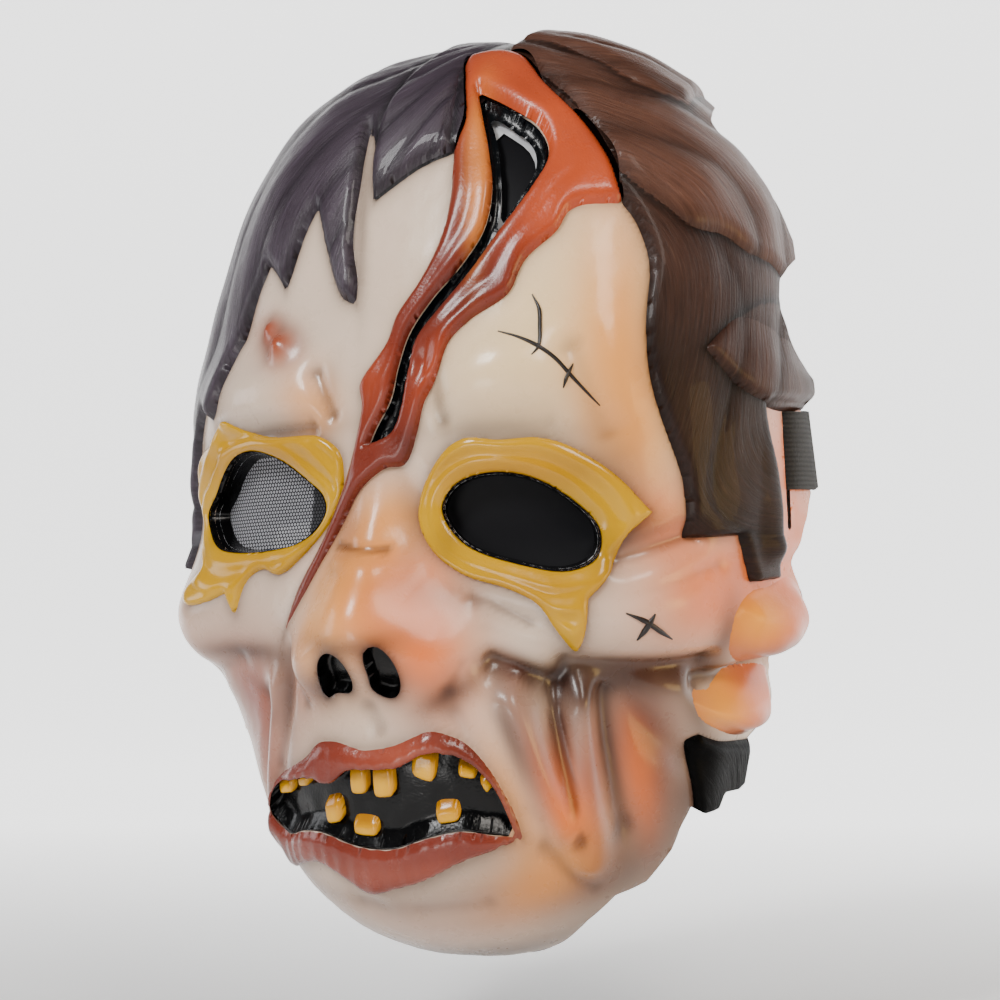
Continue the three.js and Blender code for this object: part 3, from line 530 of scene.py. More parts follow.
# most brown strokes are painted shade: under the brows, the nose, the cheekbones, the lower lip and the chin,
# in the eye sockets and the cheek grooves and round the ears; the cream stroke on the right brow boss is a
# painted highlight; the orange strokes on the right, on the nose, cheek, side and by the ear, are partly the
# mask's paint and partly painted warm light from the right
# colour, across, up, half width, half height, turn in degrees, strength
airbrush_and_painted_light = [
    (cream, 55, 55, 24, 26, 20, 0.7), (cream, 40, 40, 16, 12, 0, 0.3), (peach, -7, -20, 16, 17, 0, 0.9),
    (peach, 3, -3, 10, 9, 20, 0.75), (orange, 16, -40, 9, 14, 10, 0.85), (orange, 10, -24, 10, 8, 20, 0.6),
    (peach, -20, -36, 9, 12, 0, 0.5), (rose, -12, -6, 8, 9, 30, 0.4), (brown, -6, -35.5, 12, 2.2, 0, 0.6),
    (brown, -21, -50, 6, 4, 20, 0.7), (brown, 20, -54, 8, 3, 20, 0.85), (rose, -34, -50, 8, 9, 0, 0.5),
    (rose, -68, -60, 19, 17, -10, 0.95), (rose, -56, -80, 10, 14, 0, 0.75),
    (brown, -43, -54, 3, 9, 12, 0.6), (brown, -64, -43.5, 20, 2.8, -4, 0.75),
    (brown, -56, -58, 8, 2.4, -20, 0.45), (brown, 42, -52.5, 7, 3.2, -25, 0.9),
    (brown, 49.5, -69, 2.6, 10, -14, 0.85), (burnt, 73, -84, 12, 20, -12, 0.95),
    (rose, 41, -72, 3.8, 14, 11, 0.8), (rose, 53, -82, 4.2, 15, -18, 0.8), (peach, 31, -80, 4, 11, 10, 0.7),
    (orange, 45, -86, 4, 8, 10, 0.9), (orange, 66, -92, 4, 12, -14, 0.6),
    (brown, 35.5, -65, 2.4, 10, 10, 0.65), (brown, 61.5, -80, 2.2, 15, -16, 0.55),
    (brown, 56, -59, 10, 4.2, -12, 0.9), (brown, 75, -61, 15, 6, -3, 0.85),
    (brown, 94, -63, 11, 4, 0, 0.75), (brown, 48, -100, 6, 5, 0, 0.6), (peach, 72, 52, 8, 28, 8, 0.8),
    (peach, 82, 24, 9, 22, 12, 0.8), (brown, 78, 8, 5, 14, 20, 0.35), (orange, 93, -8, 9, 10, 0, 0.6),
    (brown, 78, -14, 13, 3.5, 18, 0.75), (rose, -46, 60, 11, 5.5, -35, 0.65),
    (rose, -40, 57, 4.5, 4.5, 0, 0.95), (rose, -47, 63, 3.2, 3.2, 0, 0.95),
    (brown, -48, 30.5, 26, 2.6, 2, 0.45), (brown, -22, 40, 3, 8, -14, 0.4), (peach, -28, 38, 8, 8, 0, 0.6),
    (brown, 22, 36, 2, 8, 10, 0.35), (brown, 40, 24.5, 16, 2.4, -4, 0.45),
    (orange, 102, -34, 15, 13, 0, 0.8), (orange, 128, -30, 16, 12, 0, 0.85),
    (brown, 107, -52, 4, 12, -20, 0.75), (brown, 106, -68, 10, 2.4, -8, 0.9),
    (brown, 92, -78, 3, 11, 10, 0.6), (brown, 0, -122, 50, 8, 0, 0.75), (brown, 46, -106, 24, 8, -18, 0.75),
    (brown, -44, -106, 18, 8, 10, 0.35), (peach, 34, -98, 12, 6, 15, 0.7),
    (brown, -10, -98, 18, 2.2, 0, 0.35), (rose, 0, -104, 26, 7, 0, 0.25), (brown, 54, 9, 20, 16, 0, 0.3),
    (brown, -56, 6, 30, 20, 0, 0.25), (orange, 146, 0, 18, 44, 0, 0.85), (brown, -118, -70, 20, 22, 0, 0.3),
    (orange, -112, -36, 14, 12, 0, 0.4), (brown, 84, -102, 12, 8, 30, 0.8), (brown, -24, 0, 4, 9, -30, 0.3),
    (brown, 10, -2, 3.5, 12, 8, 0.3), (brown, 30, -30, 16, 3, -18, 0.35), (brown, -10, 90, 1.6, 15, 2, 0.5),
]
paint(skin.data, spots, rgb(*pale), airbrush_and_painted_light)
# painted shade: soft brown in the hollows, worked out from the skin's curvature, and round the pieces on
# the skin, and dark paint on the skin under the hair's edges:
# line, how far the shade spreads from it, strength
shade_lines = [
    ("goo_left", 2.2, 0.5), ("goo_right", 2.2, 0.55), ("wound", 1.6, 0.5), ("lips", 2.0, 0.5),
    ("nostril_left", 2.0, 0.85), ("nostril_right", 2.0, 0.85), ("face", 1.8, 0.5)]
across, up = spots[:, 0], spots[:, 1]
ring = [skin_radius(across + 3 * math.cos(a), up + 3 * math.sin(a)) for a in np.arange(8) * math.pi / 4]
painted_shade = np.clip(0.75 * (np.mean(ring, axis=0) - skin_radius(across, up)) - 0.04, 0, 0.6)
for name, reach, strength in shade_lines:
    gap = np.abs(margin(lines[name], across, up)[0])
    fade = ease(up, -40, 0) if name == "face" else 1
    painted_shade = np.maximum(painted_shade, strength * np.exp(-gap / reach) * fade)
bare = np.max([margin(lines[name], across, up)[0] for name in bare_areas], axis=0)
layer = skin.data.attributes["paint"].data
colours = np.empty(len(spots) * 4)
layer.foreach_get("color", colours)
colours = colours.reshape(-1, 4)
# painted shade: brown in the hollows and round the pieces, and near black on the skin under the hair
for cover, colour in [(painted_shade, rgb(*brown)), (ease(-bare, -0.2, 0.8), rgb(44, 32, 30))]:
    colours[:, :3] += (np.array(colour) - colours[:, :3]) * cover[:, None]
layer.foreach_set("color", colours.ravel())

# Inside of the shell
# The back of the moulding is bare light grey vinyl, 2.2 mm behind the paint, and shows the relief the
# other way round. The recesses of the mouth, the nostrils and the wound stand out on it.
bare_vinyl = vinyl_material("bare vinyl", (205, 206, 208), mottle=0.12, gloss=0.4, grain=0.2, coat=0)


def slant(across, up):
    """How much longer a step along the ray is than the same step square to the skin."""
    flat = 0 * across
    sideways = place(across + 1, up, flat) - place(across - 1, up, flat)
    upwards = place(across, up + 1, flat) - place(across, up - 1, flat)
    normal = np.cross(sideways, upwards)
    normal = normal / np.linalg.norm(normal, axis=-1, keepdims=True)
    return 1 / np.maximum(np.abs((normal * direction(across, up)).sum(-1)), 0.55)


def inner_surface(spots):
    across, up = spots[:, 0], spots[:, 1]
    depth = wall * slant(across, up)
    for name, extra in [("mouth", 5.2), ("nostril_left", 4.8), ("nostril_right", 4.8), ("split", 2.8)]:
        depth = np.maximum(depth, (wall + extra) * ease(margin(lines[name], across, up)[0], -5, -1))
    return place(across, up, -depth)


grid = sheet([lines["rim"]], [lines[n] for n in openings + slots + ["split_window"]], 2.2)
bmesh.ops.reverse_faces(grid, faces=grid.faces)
inside, _ = mesh_object("shell_inside", grid, inner_surface, bare_vinyl)

# Hair
# The hair is moulded with the shell and stands 2.6 mm over the skin, in thick combed strands painted
# a dark purple brown, with an upper layer, a tuft and a fringe lock lying over it.
hair_height, layer_height = 2.6, 2.4


def strand_place(across, up):
    """Along and across the strands, which fan out from the crown behind the wound."""
    side = np.where(across > 14, 1, -1)
    fan = np.arctan2(up - 150, (across - 14) + side * 18)
    reach = np.hypot(across - 14, up - 150)
    bend = 0.18 * np.sin(reach / 26 + side)
    return fan + bend, reach


def lock_round(across, up, seed):
    """From 0 in the groove between two locks up to 1 along the top of a lock."""
    fan, reach = strand_place(across, up)
    return np.abs(np.sin(fan * 17 + 0.8 * np.sin(reach / 17 + fan * 5 + seed) + seed)) ** 0.7


def strands(across, up, seed=0):
    fan, reach = strand_place(across, up)
    fine_turn = fan * 61 + 1.1 * np.sin(reach / 11 + fan * 13 + seed)
    fade = ease(reach, 6, 40)
    return (fade * (0.8 * lock_round(across, up, seed) + 0.09 * np.sin(fine_turn))
            + 0.6 * wobble(across, up, 34, 7 + seed))


def rounded(gap, width):
    """From 0 at an edge up to 1 at the given distance from it, like a quarter circle."""
    share = np.clip(gap / width, 0, 1)
    return np.sqrt(np.clip(1 - (1 - share) ** 2, 0, 1))


def base_hair(across, up):
    gap = -np.max([margin(lines[name], across, up)[0] for name in bare_areas], axis=0)
    return -0.5 + (hair_height + 0.5 + strands(across, up)) * rounded(gap, 3.2)


lines["hair_lock"] = trace([
    (99, 47, 1), (106, 42), (115, 36), (127, 33.5), (140, 35), (156, 40.5, 1), (164, 56), (150, 72),
    (128, 74), (110, 62)])


def layer_top(name, height, width, seed):
    def top(across, up):
        gap = margin(lines[name], across, up)[0]
        return 1.2 + (height - 1.2 + 1.3 * strands(across, up, seed)) * rounded(gap, width)
    return top


lock_seeds = {"hair": 0, "hair_upper": 2, "hair_tuft": 4, "hair_fringe": 6, "hair_lock": 0}


def hair_lock_top(across, up):
    edge = rounded(margin(lines["hair_lock"], across, up)[0], 4)
    return base_hair(across, up) - 0.3 + (layer_height + 0.5) * (1 - ease(up, 40, 66)) * edge


hair_tops = {"hair": base_hair, "hair_lock": hair_lock_top}
for name, layers, width in [("hair_upper", 1, 4.5), ("hair_tuft", 2, 5), ("hair_fringe", 0.5, 4)]:
    hair_tops[name] = layer_top(name, hair_height + layers * layer_height, width, lock_seeds[name])


def over_skin(top):
    """The surface that stands over the skin by a height worked out from across and up."""
    return lambda spots: place(spots[:, 0], spots[:, 1], top(spots[:, 0], spots[:, 1]))


def hair_material(name, dark, light, streak, shine=0.3):
    """Painted strands: the ground colour in the grooves and a dry brushed lighter one along the ridges."""
    made, tree, shader = empty_material(name)
    spot = add_node(tree, "UVMap", {}, uv_map="strands").outputs[0]
    combed = add_node(tree, "Mapping", {"Vector": spot, "Scale": (26, 1.4, 1)}).outputs[0]
    noise = add_node(tree, "TexNoise", {"Vector": combed, "Scale": 5, "Detail": 8, "Roughness": 0.65})
    comb = noise.outputs["Fac"]
    ramp = add_node(tree, "ValToRGB", {0: comb})
    bands = ramp.color_ramp.elements
    bands[0].position = 0.28
    bands[1].position = 0.62
    bands.new(0.78)
    for band, colour in zip(bands, (dark, light, streak)):
        band.color = (*rgb(*colour), 1)
    # the vertex value named shade scales the colour: painted shade and painted light on the strands
    shade = add_node(tree, "Attribute", {}, attribute_name="shade").outputs["Fac"]
    shaded = add_node(tree, "VectorMath", {0: ramp.outputs[0], "Scale": shade}, operation="SCALE")
    look = vinyl_look(tree, {"Colour": shaded.outputs[0], "Mottle": 0.5, "Gloss": 0.26, "Grain": 0.1})
    relief = add_node(tree, "Bump", {
        "Strength": 0.5, "Distance": 0.0007, "Height": comb, "Normal": look["Normal"]})
    feed(tree, shader, {
        "Base Color": look["Colour"], "Roughness": look["Roughness"], "Normal": relief.outputs[0],
        "Coat Weight": 0.4 * shine, "Specular IOR Level": shine})
    return made


hair_left_paint = hair_material("hair paint", (76, 67, 74), (108, 97, 108), (132, 122, 136))
hair_right_paint = hair_material("hair paint, brown", (84, 64, 56), (106, 82, 72), (130, 106, 90), 0.14)
nape_paint = hair_material("nape paint", (4, 4, 4), (8, 8, 8), (14, 13, 13), 0.04)


def uv_from(data, spots, make, name):
    """Writes a UV map from values worked out for each vertex."""
    values = np.stack(make(spots[:, 0], spots[:, 1]), -1)
    corner = np.empty(len(data.loops), np.int32)
    data.loops.foreach_get("vertex_index", corner)
    data.uv_layers.new(name=name).data.foreach_set("uv", values[corner].ravel())


hair_keep = {
    "hair": ([lines["rim"]], [lines[n] for n in ("face", "side_right", "side_left", "wound")], 1.1),
    "hair_upper": ([lines["rim"], lines["hair_upper"]], [lines["wound"]], 1.0),
    "hair_tuft": ([lines["rim"], lines["hair_tuft"]], [], 1.0),
    "hair_fringe": ([lines["rim"], lines["hair_fringe"]], [lines["wound"]], 0.8),
    "hair_lock": ([lines["rim"], lines["hair_lock"]], [], 0.9),
}
# painted light: the upper layer and the tuft are painted about twice as light as the hair under them, the
# lock a little lighter
painted_light_by_layer = {"hair": 1, "hair_upper": 2.1, "hair_tuft": 2.1, "hair_fringe": 1, "hair_lock": 1.2}
layers_by_cover = list(hair_keep)
for name, (keep, cut, step) in hair_keep.items():
    ground = hair_left_paint if name in ("hair", "hair_fringe") else hair_right_paint
    piece, spots = mesh_object(name, sheet(keep, cut, step), over_skin(hair_tops[name]), ground)
    across, up = spots[:, 0], spots[:, 1]
    uv_from(piece.data, spots, lambda a, u: (strand_place(a, u)[0], strand_place(a, u)[1] / 100), "strands")
    # painted shade and light, kept as the vertex value named shade: painted shadow beside the edges of the
    # layers lying over a piece, darker along the piece's own edge and in the grooves between the locks
    shade = np.ones(len(spots))
    for over in ("hair_upper", "hair_tuft", "hair_lock", "hair_fringe"):
        if layers_by_cover.index(over) > layers_by_cover.index(name):
            gap = -margin(lines[over], across, up)[0]
            shade = np.minimum(shade, 1 - 0.75 * np.exp(-np.clip(gap, 0, 99) / 2.2) * (gap > -1))
    edge = np.abs(margin(lines.get(name, lines["face"]), across, up)[0])
    groove = (1 - lock_round(across, up, lock_seeds[name])) * ease(strand_place(across, up)[1], 6, 40)
    shade = shade * (1 - 0.5 * np.exp(-edge / 1.4)) * (1 - 0.5 * groove) * painted_light_by_layer[name]
    if name == "hair":
        # painted light: the brown hair on the right is darker low down and lighter towards the top
        shade = shade * np.where(across > 20, 0.5 + 0.6 * ease(up, 30, 90), 1)
        piece.data.materials.append(hair_right_paint)
        piece.data.materials.append(nape_paint)
        for polygon in piece.data.polygons:
            first = polygon.vertices[0]
            polygon.material_index = 2 if up[first] < -60 else int(across[first] > 20)
    piece.data.attributes.new("shade", "FLOAT", "POINT").data.foreach_set("value", shade)

# Rim of the shell
# The edge of the moulding where it was trimmed from its mould: a thin dark cut, from the outer paint
# round to the bare inside.
edge_paint = vinyl_material("trimmed edge", (70, 58, 56), gloss=0.4, coat=0)


def collar(line, rings):
    """A strip of chart points along a closed line, with a row for each of the rings; z counts the rings."""
    grid = bmesh.new()
    count = len(line)
    bmesh.ops.create_grid(grid, x_segments=count, y_segments=rings - 1, size=0.5)
    for v in grid.verts:
        step = round((v.co.x + 0.5) * count) % count
        v.co = (line[step][0], line[step][1], round((v.co.y + 0.5) * (rings - 1)))
    bmesh.ops.remove_doubles(grid, verts=grid.verts, dist=1e-4)
    return grid


def rim_surface(spots):
    across, up, ring = spots[:, 0], spots[:, 1], spots[:, 2]
    outer = np.maximum(0.0 * across, base_hair(across, up))
    for name in ("hair_upper", "hair_tuft", "hair_fringe", "hair_lock"):
        inside_layer = margin(lines[name], across, up)[0] > 0
        outer = np.where(inside_layer, np.maximum(outer, hair_tops[name](across, up)), outer)
    share = ring / 4
    return place(across, up, outer * (1 - share) - wall * slant(across, up) * share)


fine_rim = np.concatenate([np.linspace(a, b, max(int(math.dist(a, b) / 1.5), 1), endpoint=False)
                           for a, b in zip(lines["rim"], np.roll(lines["rim"], -1, axis=0))])
rim, _ = mesh_object("shell_rim", collar(fine_rim, 5), rim_surface, edge_paint)

# Goo round the eyes
# A puffed ring round each eye hole with drips below, 1.8 mm high, moulded with the face and painted a
# thick glossy yellow with ochre in its folds.
goo_paint = vinyl_material("goo paint", mottle=0.3, gloss=0.14, grain=0.08, coat=0.3, shine=0.25)
yellow, ochre, shade_ochre = (212, 176, 0), (178, 130, 0), (96, 56, 0)


def goo_surface(name, eye):
    def surface(spots):
        across, up = spots[:, 0], spots[:, 1]
        outer = margin(lines[name], across, up)[0]
        inner = -margin(lines[eye], across, up)[0]
        height = -0.4 + 2.3 * rounded(outer, 3.6) * (0.45 + 0.55 * rounded(inner, 4.5))
        waves = 0.5 * np.sin(inner * 0.75 + 1.2 * wobble(across, up, 30, 2))
        waves = waves * ease(outer, 1, 5) * ease(inner, 2, 6)
        return place(across, up, height + waves + 0.25 * wobble(across, up, 16, 4) * rounded(outer, 3))
    return surface


for name, eye in [("goo_left", "eye_left"), ("goo_right", "eye_right")]:
    ring = sheet([lines[name]], [lines[eye]], 0.7)
    piece, spots = mesh_object(name, ring, goo_surface(name, eye), goo_paint)
    at = lines[eye].mean(0)
    paint(piece.data, spots, rgb(*yellow), [
        (ochre, at[0], at[1] + 16, 26, 6, 0, 0.5), (shade_ochre, at[0] + 22, at[1] - 6, 5, 12, 20, 0.35),
        (shade_ochre, at[0] - 24, at[1] - 4, 4, 8, -20, 0.35), (ochre, at[0], at[1] - 22, 22, 5, 0, 0.35)])

# Rims of the eye holes
# Each hole is cut through the moulding and has a rounded lip and a wall that stands 5 mm in, painted
# glossy black like the mesh behind it.
black_gloss = vinyl_material(
    "black gloss", (4, 4, 5), mottle=0.3, gloss=0.08, grain=0.2, coat=0.12, shine=0.2)


def eye_wall(spots):
    share = spots[:, 2] / 7
    across, up = spots[:, 0], spots[:, 1]
    lip = 0.9 * np.sin(np.pi * np.clip(share * 3, 0, 1)) * (share < 0.34)
    return place(across, up, 0.3 + lip - 5.6 * np.clip((share - 0.15) / 0.85, 0, 1) * slant(across, up))


for name in openings:
    piece, _ = mesh_object(name + "_wall", collar(lines[name], 8), eye_wall, black_gloss)

# Forehead wound
# A gash from the crown down to the left cheek: two swollen glossy lips, 3 mm high, painted red brown
# with orange edges, on both sides of a black wet-looking split.
wound_paint = vinyl_material("wound paint", mottle=0.4, gloss=0.2, grain=0.2, coat=0.15, shine=0.3)


def wound_surface(spots):
    across, up = spots[:, 0], spots[:, 1]
    outer = margin(lines["wound"], across, up)[0]
    inner = -margin(lines["split"], across, up)[0]
    thin = ease(up, -38, 10)
    in_hair = 1.6 * ease(up, 96, 116)
    height = -0.4 + (0.9 + 2.7 * thin + in_hair) * rounded(outer, 3.2) * (0.25 + 0.75 * rounded(inner, 3.0))
    lumps = 0.45 * wobble(across, up, 18, 11)
    groove = -0.35 * np.exp(-((outer - inner) / 3.0) ** 2) * ease(up, 20, 40)
    return place(across, up, height + (lumps + groove) * ease(outer, 0.5, 4) * ease(inner, -0.5, 3) * thin)


piece, spots = mesh_object(
    "wound_lips", sheet([lines["wound"]], [lines["split"]], 0.75), wound_surface, wound_paint)
flesh, rust, tan, maroon = (148, 82, 66), (208, 116, 76), (226, 160, 92), (98, 50, 42)
paint(piece.data, spots, rgb(*flesh), [
    (rust, 22, 120, 9, 10, 0, 0.85), (rust, 44, 104, 14, 8, -40, 0.85), (rust, 58, 92, 10, 7, -40, 0.8),
    (tan, 28.5, 88, 2.2, 12, 6, 0.9), (tan, 24, 104, 2, 9, 10, 0.7), (rust, 48, 82, 6, 8, -40, 0.7),
    (maroon, 20, 62, 4, 10, -40, 0.4), (maroon, 10, 22, 5, 5, 0, 0.5), (maroon, 30, 62, 3, 9, -50, 0.4),
    (rust, 20, 42, 4, 8, -20, 0.5), (rust, -2, 44, 5, 9, 0, 0.35), (maroon, -26, -12, 3, 18, -32, 0.25)])


def pit_surface(name, depth, ripple, size):
    def surface(spots):
        across, up = spots[:, 0], spots[:, 1]
        gap = margin(lines[name], across, up)[0]
        floor = depth + ripple * wobble(across, up, size, 9)
        return place(across, up, 0.2 - (floor + 0.2) * rounded(gap + 0.02, 1.8))
    return surface


split_paint = vinyl_material(
    "split paint", (3, 5, 8), mottle=0.5, gloss=0.12, grain=0.3, coat=0.12, shine=0.2)
piece, _ = mesh_object("wound_split", sheet([lines["split"]], [lines["split_window"]], 0.6),
                       pit_surface("split", 2.4, 0.5, 7), split_paint)

# Mouth and nostrils
# Recesses in the moulding, 5 mm deep at the mouth and 4.5 mm at the nostrils, with uneven floors that
# are painted glossy black.
pit_paint = vinyl_material("pit paint", (3, 3, 4), mottle=0.5, gloss=0.08, grain=0.3, coat=0.12, shine=0.2)
for name, depth, ripple in [("mouth", 5, 0.5), ("nostril_left", 4.5, 0.3), ("nostril_right", 4.5, 0.3)]:
    pit = sheet([lines[name]], [], 0.6)
    piece, _ = mesh_object(name, pit, pit_surface(name, depth, ripple, 12), pit_paint)

# Lips
# Swollen lips, 2 mm high, moulded round the mouth recess with fine wrinkles across them and painted a
# dusky red with a wet gloss, with painted highlights along their tops and painted shade under the lower lip.
lip_paint = vinyl_material("lip paint", mottle=0.45, gloss=0.16, grain=0.25, coat=0.25, shine=0.3)


def lip_surface(spots):
    across, up = spots[:, 0], spots[:, 1]
    outer = margin(lines["lips"], across, up)[0]
    inner = -margin(lines["mouth"], across, up)[0]
    height = -0.4 + 2.6 * rounded(outer, 3.0) * (0.25 + 0.75 * rounded(inner, 2.6))
    wrinkles = 0.16 * np.sin(across * 1.3 + 2 * wobble(across, up, 18, 3)) * ease(outer, 0.6, 2.5)
    return place(across, up, height + wrinkles)


piece, spots = mesh_object("lips", sheet([lines["lips"]], [lines["mouth"]], 0.65), lip_surface, lip_paint)
# painted highlights on the tops of the upper and lower lip, painted shade along the lower lip's bottom edge
paint(piece.data, spots, rgb(148, 82, 68), [
    ((184, 114, 94), 4, -66, 12, 2.5, 0, 0.8), ((184, 118, 100), -6, -89, 22, 2.2, 0, 0.55),
    ((104, 56, 50), -40, -96, 12, 3, 12, 0.55), ((104, 56, 50), -8, -95, 16, 1.6, 0, 0.5),
    ((120, 70, 60), 20, -66, 8, 2, -30, 0.5), ((180, 120, 90), 30, -80, 3, 8, 0, 0.5)])

# Teeth
# Ten uneven stub teeth, moulded on the floor of the mouth recess and painted by hand a glossy yellow,
# with a painted highlight on their faces and brown along their top edges.
tooth_paint = vinyl_material("tooth paint", mottle=0.3, gloss=0.12, grain=0.12, coat=0.35, shine=0.25)
# across, up, half width, half height, turn in degrees
teeth = [
    (-44.5, -78.6, 4, 2.2, 12), (-34.5, -75.2, 3, 1.9, 12), (-12, -73, 3.2, 3.3, 3),
    (-3.8, -73.2, 3.6, 3.6, 0), (9, -70.5, 3.8, 3.3, -18), (21, -73.2, 2.8, 1.7, -18),
    (25.4, -76.8, 1.6, 1.8, 25), (-21.8, -80.2, 3.4, 2.7, 12), (-10.8, -82.6, 4.2, 1.8, 0),
    (13.8, -80.6, 3.4, 2, 0),
]
for number, (at_across, at_up, half_width, half_height, degrees) in enumerate(teeth, 1):
    angle = np.linspace(0, 2 * np.pi, 48, endpoint=False)
    local = np.stack([half_width * np.sign(np.cos(angle)) * np.abs(np.cos(angle)) ** 0.55,
                      half_height * np.sign(np.sin(angle)) * np.abs(np.sin(angle)) ** 0.55], -1)
    turn = math.radians(degrees)
    turned = np.array([[math.cos(turn), math.sin(turn)], [-math.sin(turn), math.cos(turn)]])
    line = local @ turned + (at_across, at_up)

    def tooth_top(across, up, line=line):
        return 3.2 * rounded(margin(line, across, up)[0], 1.5) - 5.3 + 0.12 * wobble(across, up, 5, 2)

    piece, spots = mesh_object("tooth_%d" % number, sheet([line], [], 0.4), over_skin(tooth_top), tooth_paint)
    # a painted highlight on each tooth's face, and brown along its top edge
    paint(piece.data, spots, rgb(218, 170, 0), [
        ((240, 200, 30), at_across, at_up - 0.3 * half_height, 0.6 * half_width, 0.6 * half_height, degrees,
         0.6),
        ((150, 96, 20), at_across, at_up + half_height, half_width, 0.35 * half_height, degrees, 0.6)])

# Ears
# Each ear is moulded flat against the side in two soft swellings, a folded upper part and a lobe, and
# airbrushed orange, partly its paint and partly painted warm light from the right, with a painted
# highlight above and painted shade below.
ear_paint = vinyl_material("ear paint", mottle=0.35, gloss=0.22, grain=0.15, coat=0.15, shine=0.3)
upper_ear = [
    (112, -42), (118, -37.5), (130, -37), (147, -38), (155, -52), (155, -62), (152, -71), (143, -77.5),
    (130, -75), (118, -69.5), (112, -65), (108.5, -58), (109, -48)]
lobe = [
    (93, -72), (99, -73), (112, -73), (126, -78), (135, -84), (133.5, -92), (130, -102), (122, -106),
    (113, -104), (105, -97), (97, -87), (92, -79)]


def ear_surface(line, sign):
    def surface(spots):
        across, up = spots[:, 0], spots[:, 1]
        gap = margin(line, across, up)[0]
        swell = 3.4 * ease(gap, 0, 10) + 0.3 * wobble(sign * across, up, 17, 2) * ease(gap, 1, 4)
        return place(across, up, -0.35 + swell + 0.5 * rounded(gap, 1.5))
    return surface


for side, sign, shift in [("right", 1, 0), ("left", -1, -2 * 4.4)]:
    for part, rows in [("ear", upper_ear), ("ear_lobe", lobe)]:
        line = trace([(sign * a + shift, u) for a, u in rows])
        piece, spots = mesh_object(
            part + "_" + side, sheet([line, lines["rim"]], [], 0.9), ear_surface(line, sign), ear_paint)
        middle = line.mean(0)
        # over the skin's strokes: orange, partly paint and partly painted warm light, a painted highlight
        # above, painted shade below and a deeper orange towards the back
        paint(piece.data, spots, rgb(*pale), airbrush_and_painted_light + [
            (orange, middle[0], middle[1], 24, 18, 0, 0.85),
            ((246, 190, 60), middle[0] - 10 * sign, middle[1] + 9, 9, 7, 0, 0.75),
            ((116, 70, 36), middle[0] + 4 * sign, middle[1] - 12, 18, 6, -12 * sign, 0.8),
            ((232, 138, 6), middle[0] + 12 * sign, middle[1] + 4, 12, 8, 0, 0.7)])

# Stitches
# Thin threads moulded on the skin and painted dark brown: a long seam with a cross tick on the forehead
# and a cross on the cheek.
thread_paint = vinyl_material("thread paint", (44, 24, 22), gloss=0.3, coat=0.2)


def tube(path, radius, sides=8):
    """A closed tube along chart points; the height of the path is its third value."""
    grid = bmesh.new()
    count = len(path)
    bmesh.ops.create_grid(grid, x_segments=count - 1, y_segments=sides, size=0.5)
    tangent = np.gradient(path[:, :2], axis=0)
    tangent /= np.linalg.norm(tangent, axis=1)[:, None]
    for v in grid.verts:
        i = round((v.co.x + 0.5) * (count - 1))
        angle = 2 * math.pi * round((v.co.y + 0.5) * sides) / sides
        taper = radius * min(1, 0.25 + 2.5 * min(i, count - 1 - i) / count)
        out, lift = taper * math.cos(angle), taper * math.sin(angle)
        v.co = (path[i, 0] - tangent[i, 1] * out, path[i, 1] + tangent[i, 0] * out, path[i, 2] + lift)
    bmesh.ops.remove_doubles(grid, verts=grid.verts, dist=1e-5)
    return grid


threads = {
    "seam_upper": [(48.5, 62.5), (51, 58), (51.8, 53), (52, 46), (50, 43)],
    "seam_across": [(40, 51.5), (46, 49), (52, 46), (57, 43), (61, 39.5), (67, 34), (72, 29)],
    "seam_tick": [(62.5, 42), (61, 38), (60, 34)],
    "cross_long": [(74, -35), (79, -38), (83, -42), (87, -46)],
    "cross_short": [(82, -36), (79, -40), (75.5, -44.5)],
}
for name, rows in threads.items():
    run = smooth_run(rows, False, 8)
    path = np.column_stack([run, np.full(len(run), 0.1)])
    thread = tube(path, 0.85 if name.startswith("cross") else 0.6)
    piece, _ = mesh_object("stitch_" + name, thread, lambda spots: place(*spots.T), thread_paint)

# Eye and wound meshes
# Stiff black hexagon netting, glued against the inside of the shell behind each opening. The wearer
# looks through it.
def netting(name, cell, hole_tone, cover):
    """Netting with hexagon holes on its own map: cell is their width, hole_tone the colour painted in the
    holes and cover how far it fills them; where a vertex value marks painted shade behind, the holes are
    painted opaque near black.
    """
    made, tree, shader = empty_material(name)
    spot = add_node(tree, "UVMap", {}, uv_map="net").outputs[0]
    pitch = (1 / cell, 1 / (cell * math.sqrt(3)), 1)
    rows = add_node(tree, "Mapping", {"Vector": spot, "Scale": pitch}).outputs[0]
    away = []
    for shift in (0, 0.5):
        moved = result_of(tree, "ADD", rows, (shift, shift, 0), kind="VectorMath")
        share = result_of(tree, "FRACTION", moved, kind="VectorMath")
        centred = result_of(tree, "SUBTRACT", share, (0.5, 0.5, 0), kind="VectorMath")
        real = result_of(tree, "MULTIPLY", centred, (1, math.sqrt(3), 0), kind="VectorMath")
        away.append(add_node(tree, "VectorMath", {0: real}, operation="LENGTH").outputs["Value"])
    wire = result_of(tree, "GREATER_THAN", result_of(tree, "MINIMUM", *away), 0.37)
    painted_shade_behind = add_node(tree, "Attribute", {}, attribute_name="painted_shade_behind").outputs["Fac"]
    filled = result_of(tree, "MAXIMUM", result_of(tree, "MAXIMUM", wire, painted_shade_behind), cover)
    tone = add_node(tree, "Mix", {
        "A": (*hole_tone, 1), "B": (0.01, 0.01, 0.012, 1), "Factor": wire}, data_type="RGBA")
    dark = add_node(tree, "Mix", {
        "A": tone.outputs["Result"], "B": (0.003, 0.003, 0.004, 1),
        "Factor": result_of(tree, "MULTIPLY", painted_shade_behind, 0.85)}, data_type="RGBA")
    feed(tree, shader, {
        "Base Color": dark.outputs["Result"], "Roughness": 0.45, "Specular IOR Level": 0.08, "Alpha": filled})
    return made


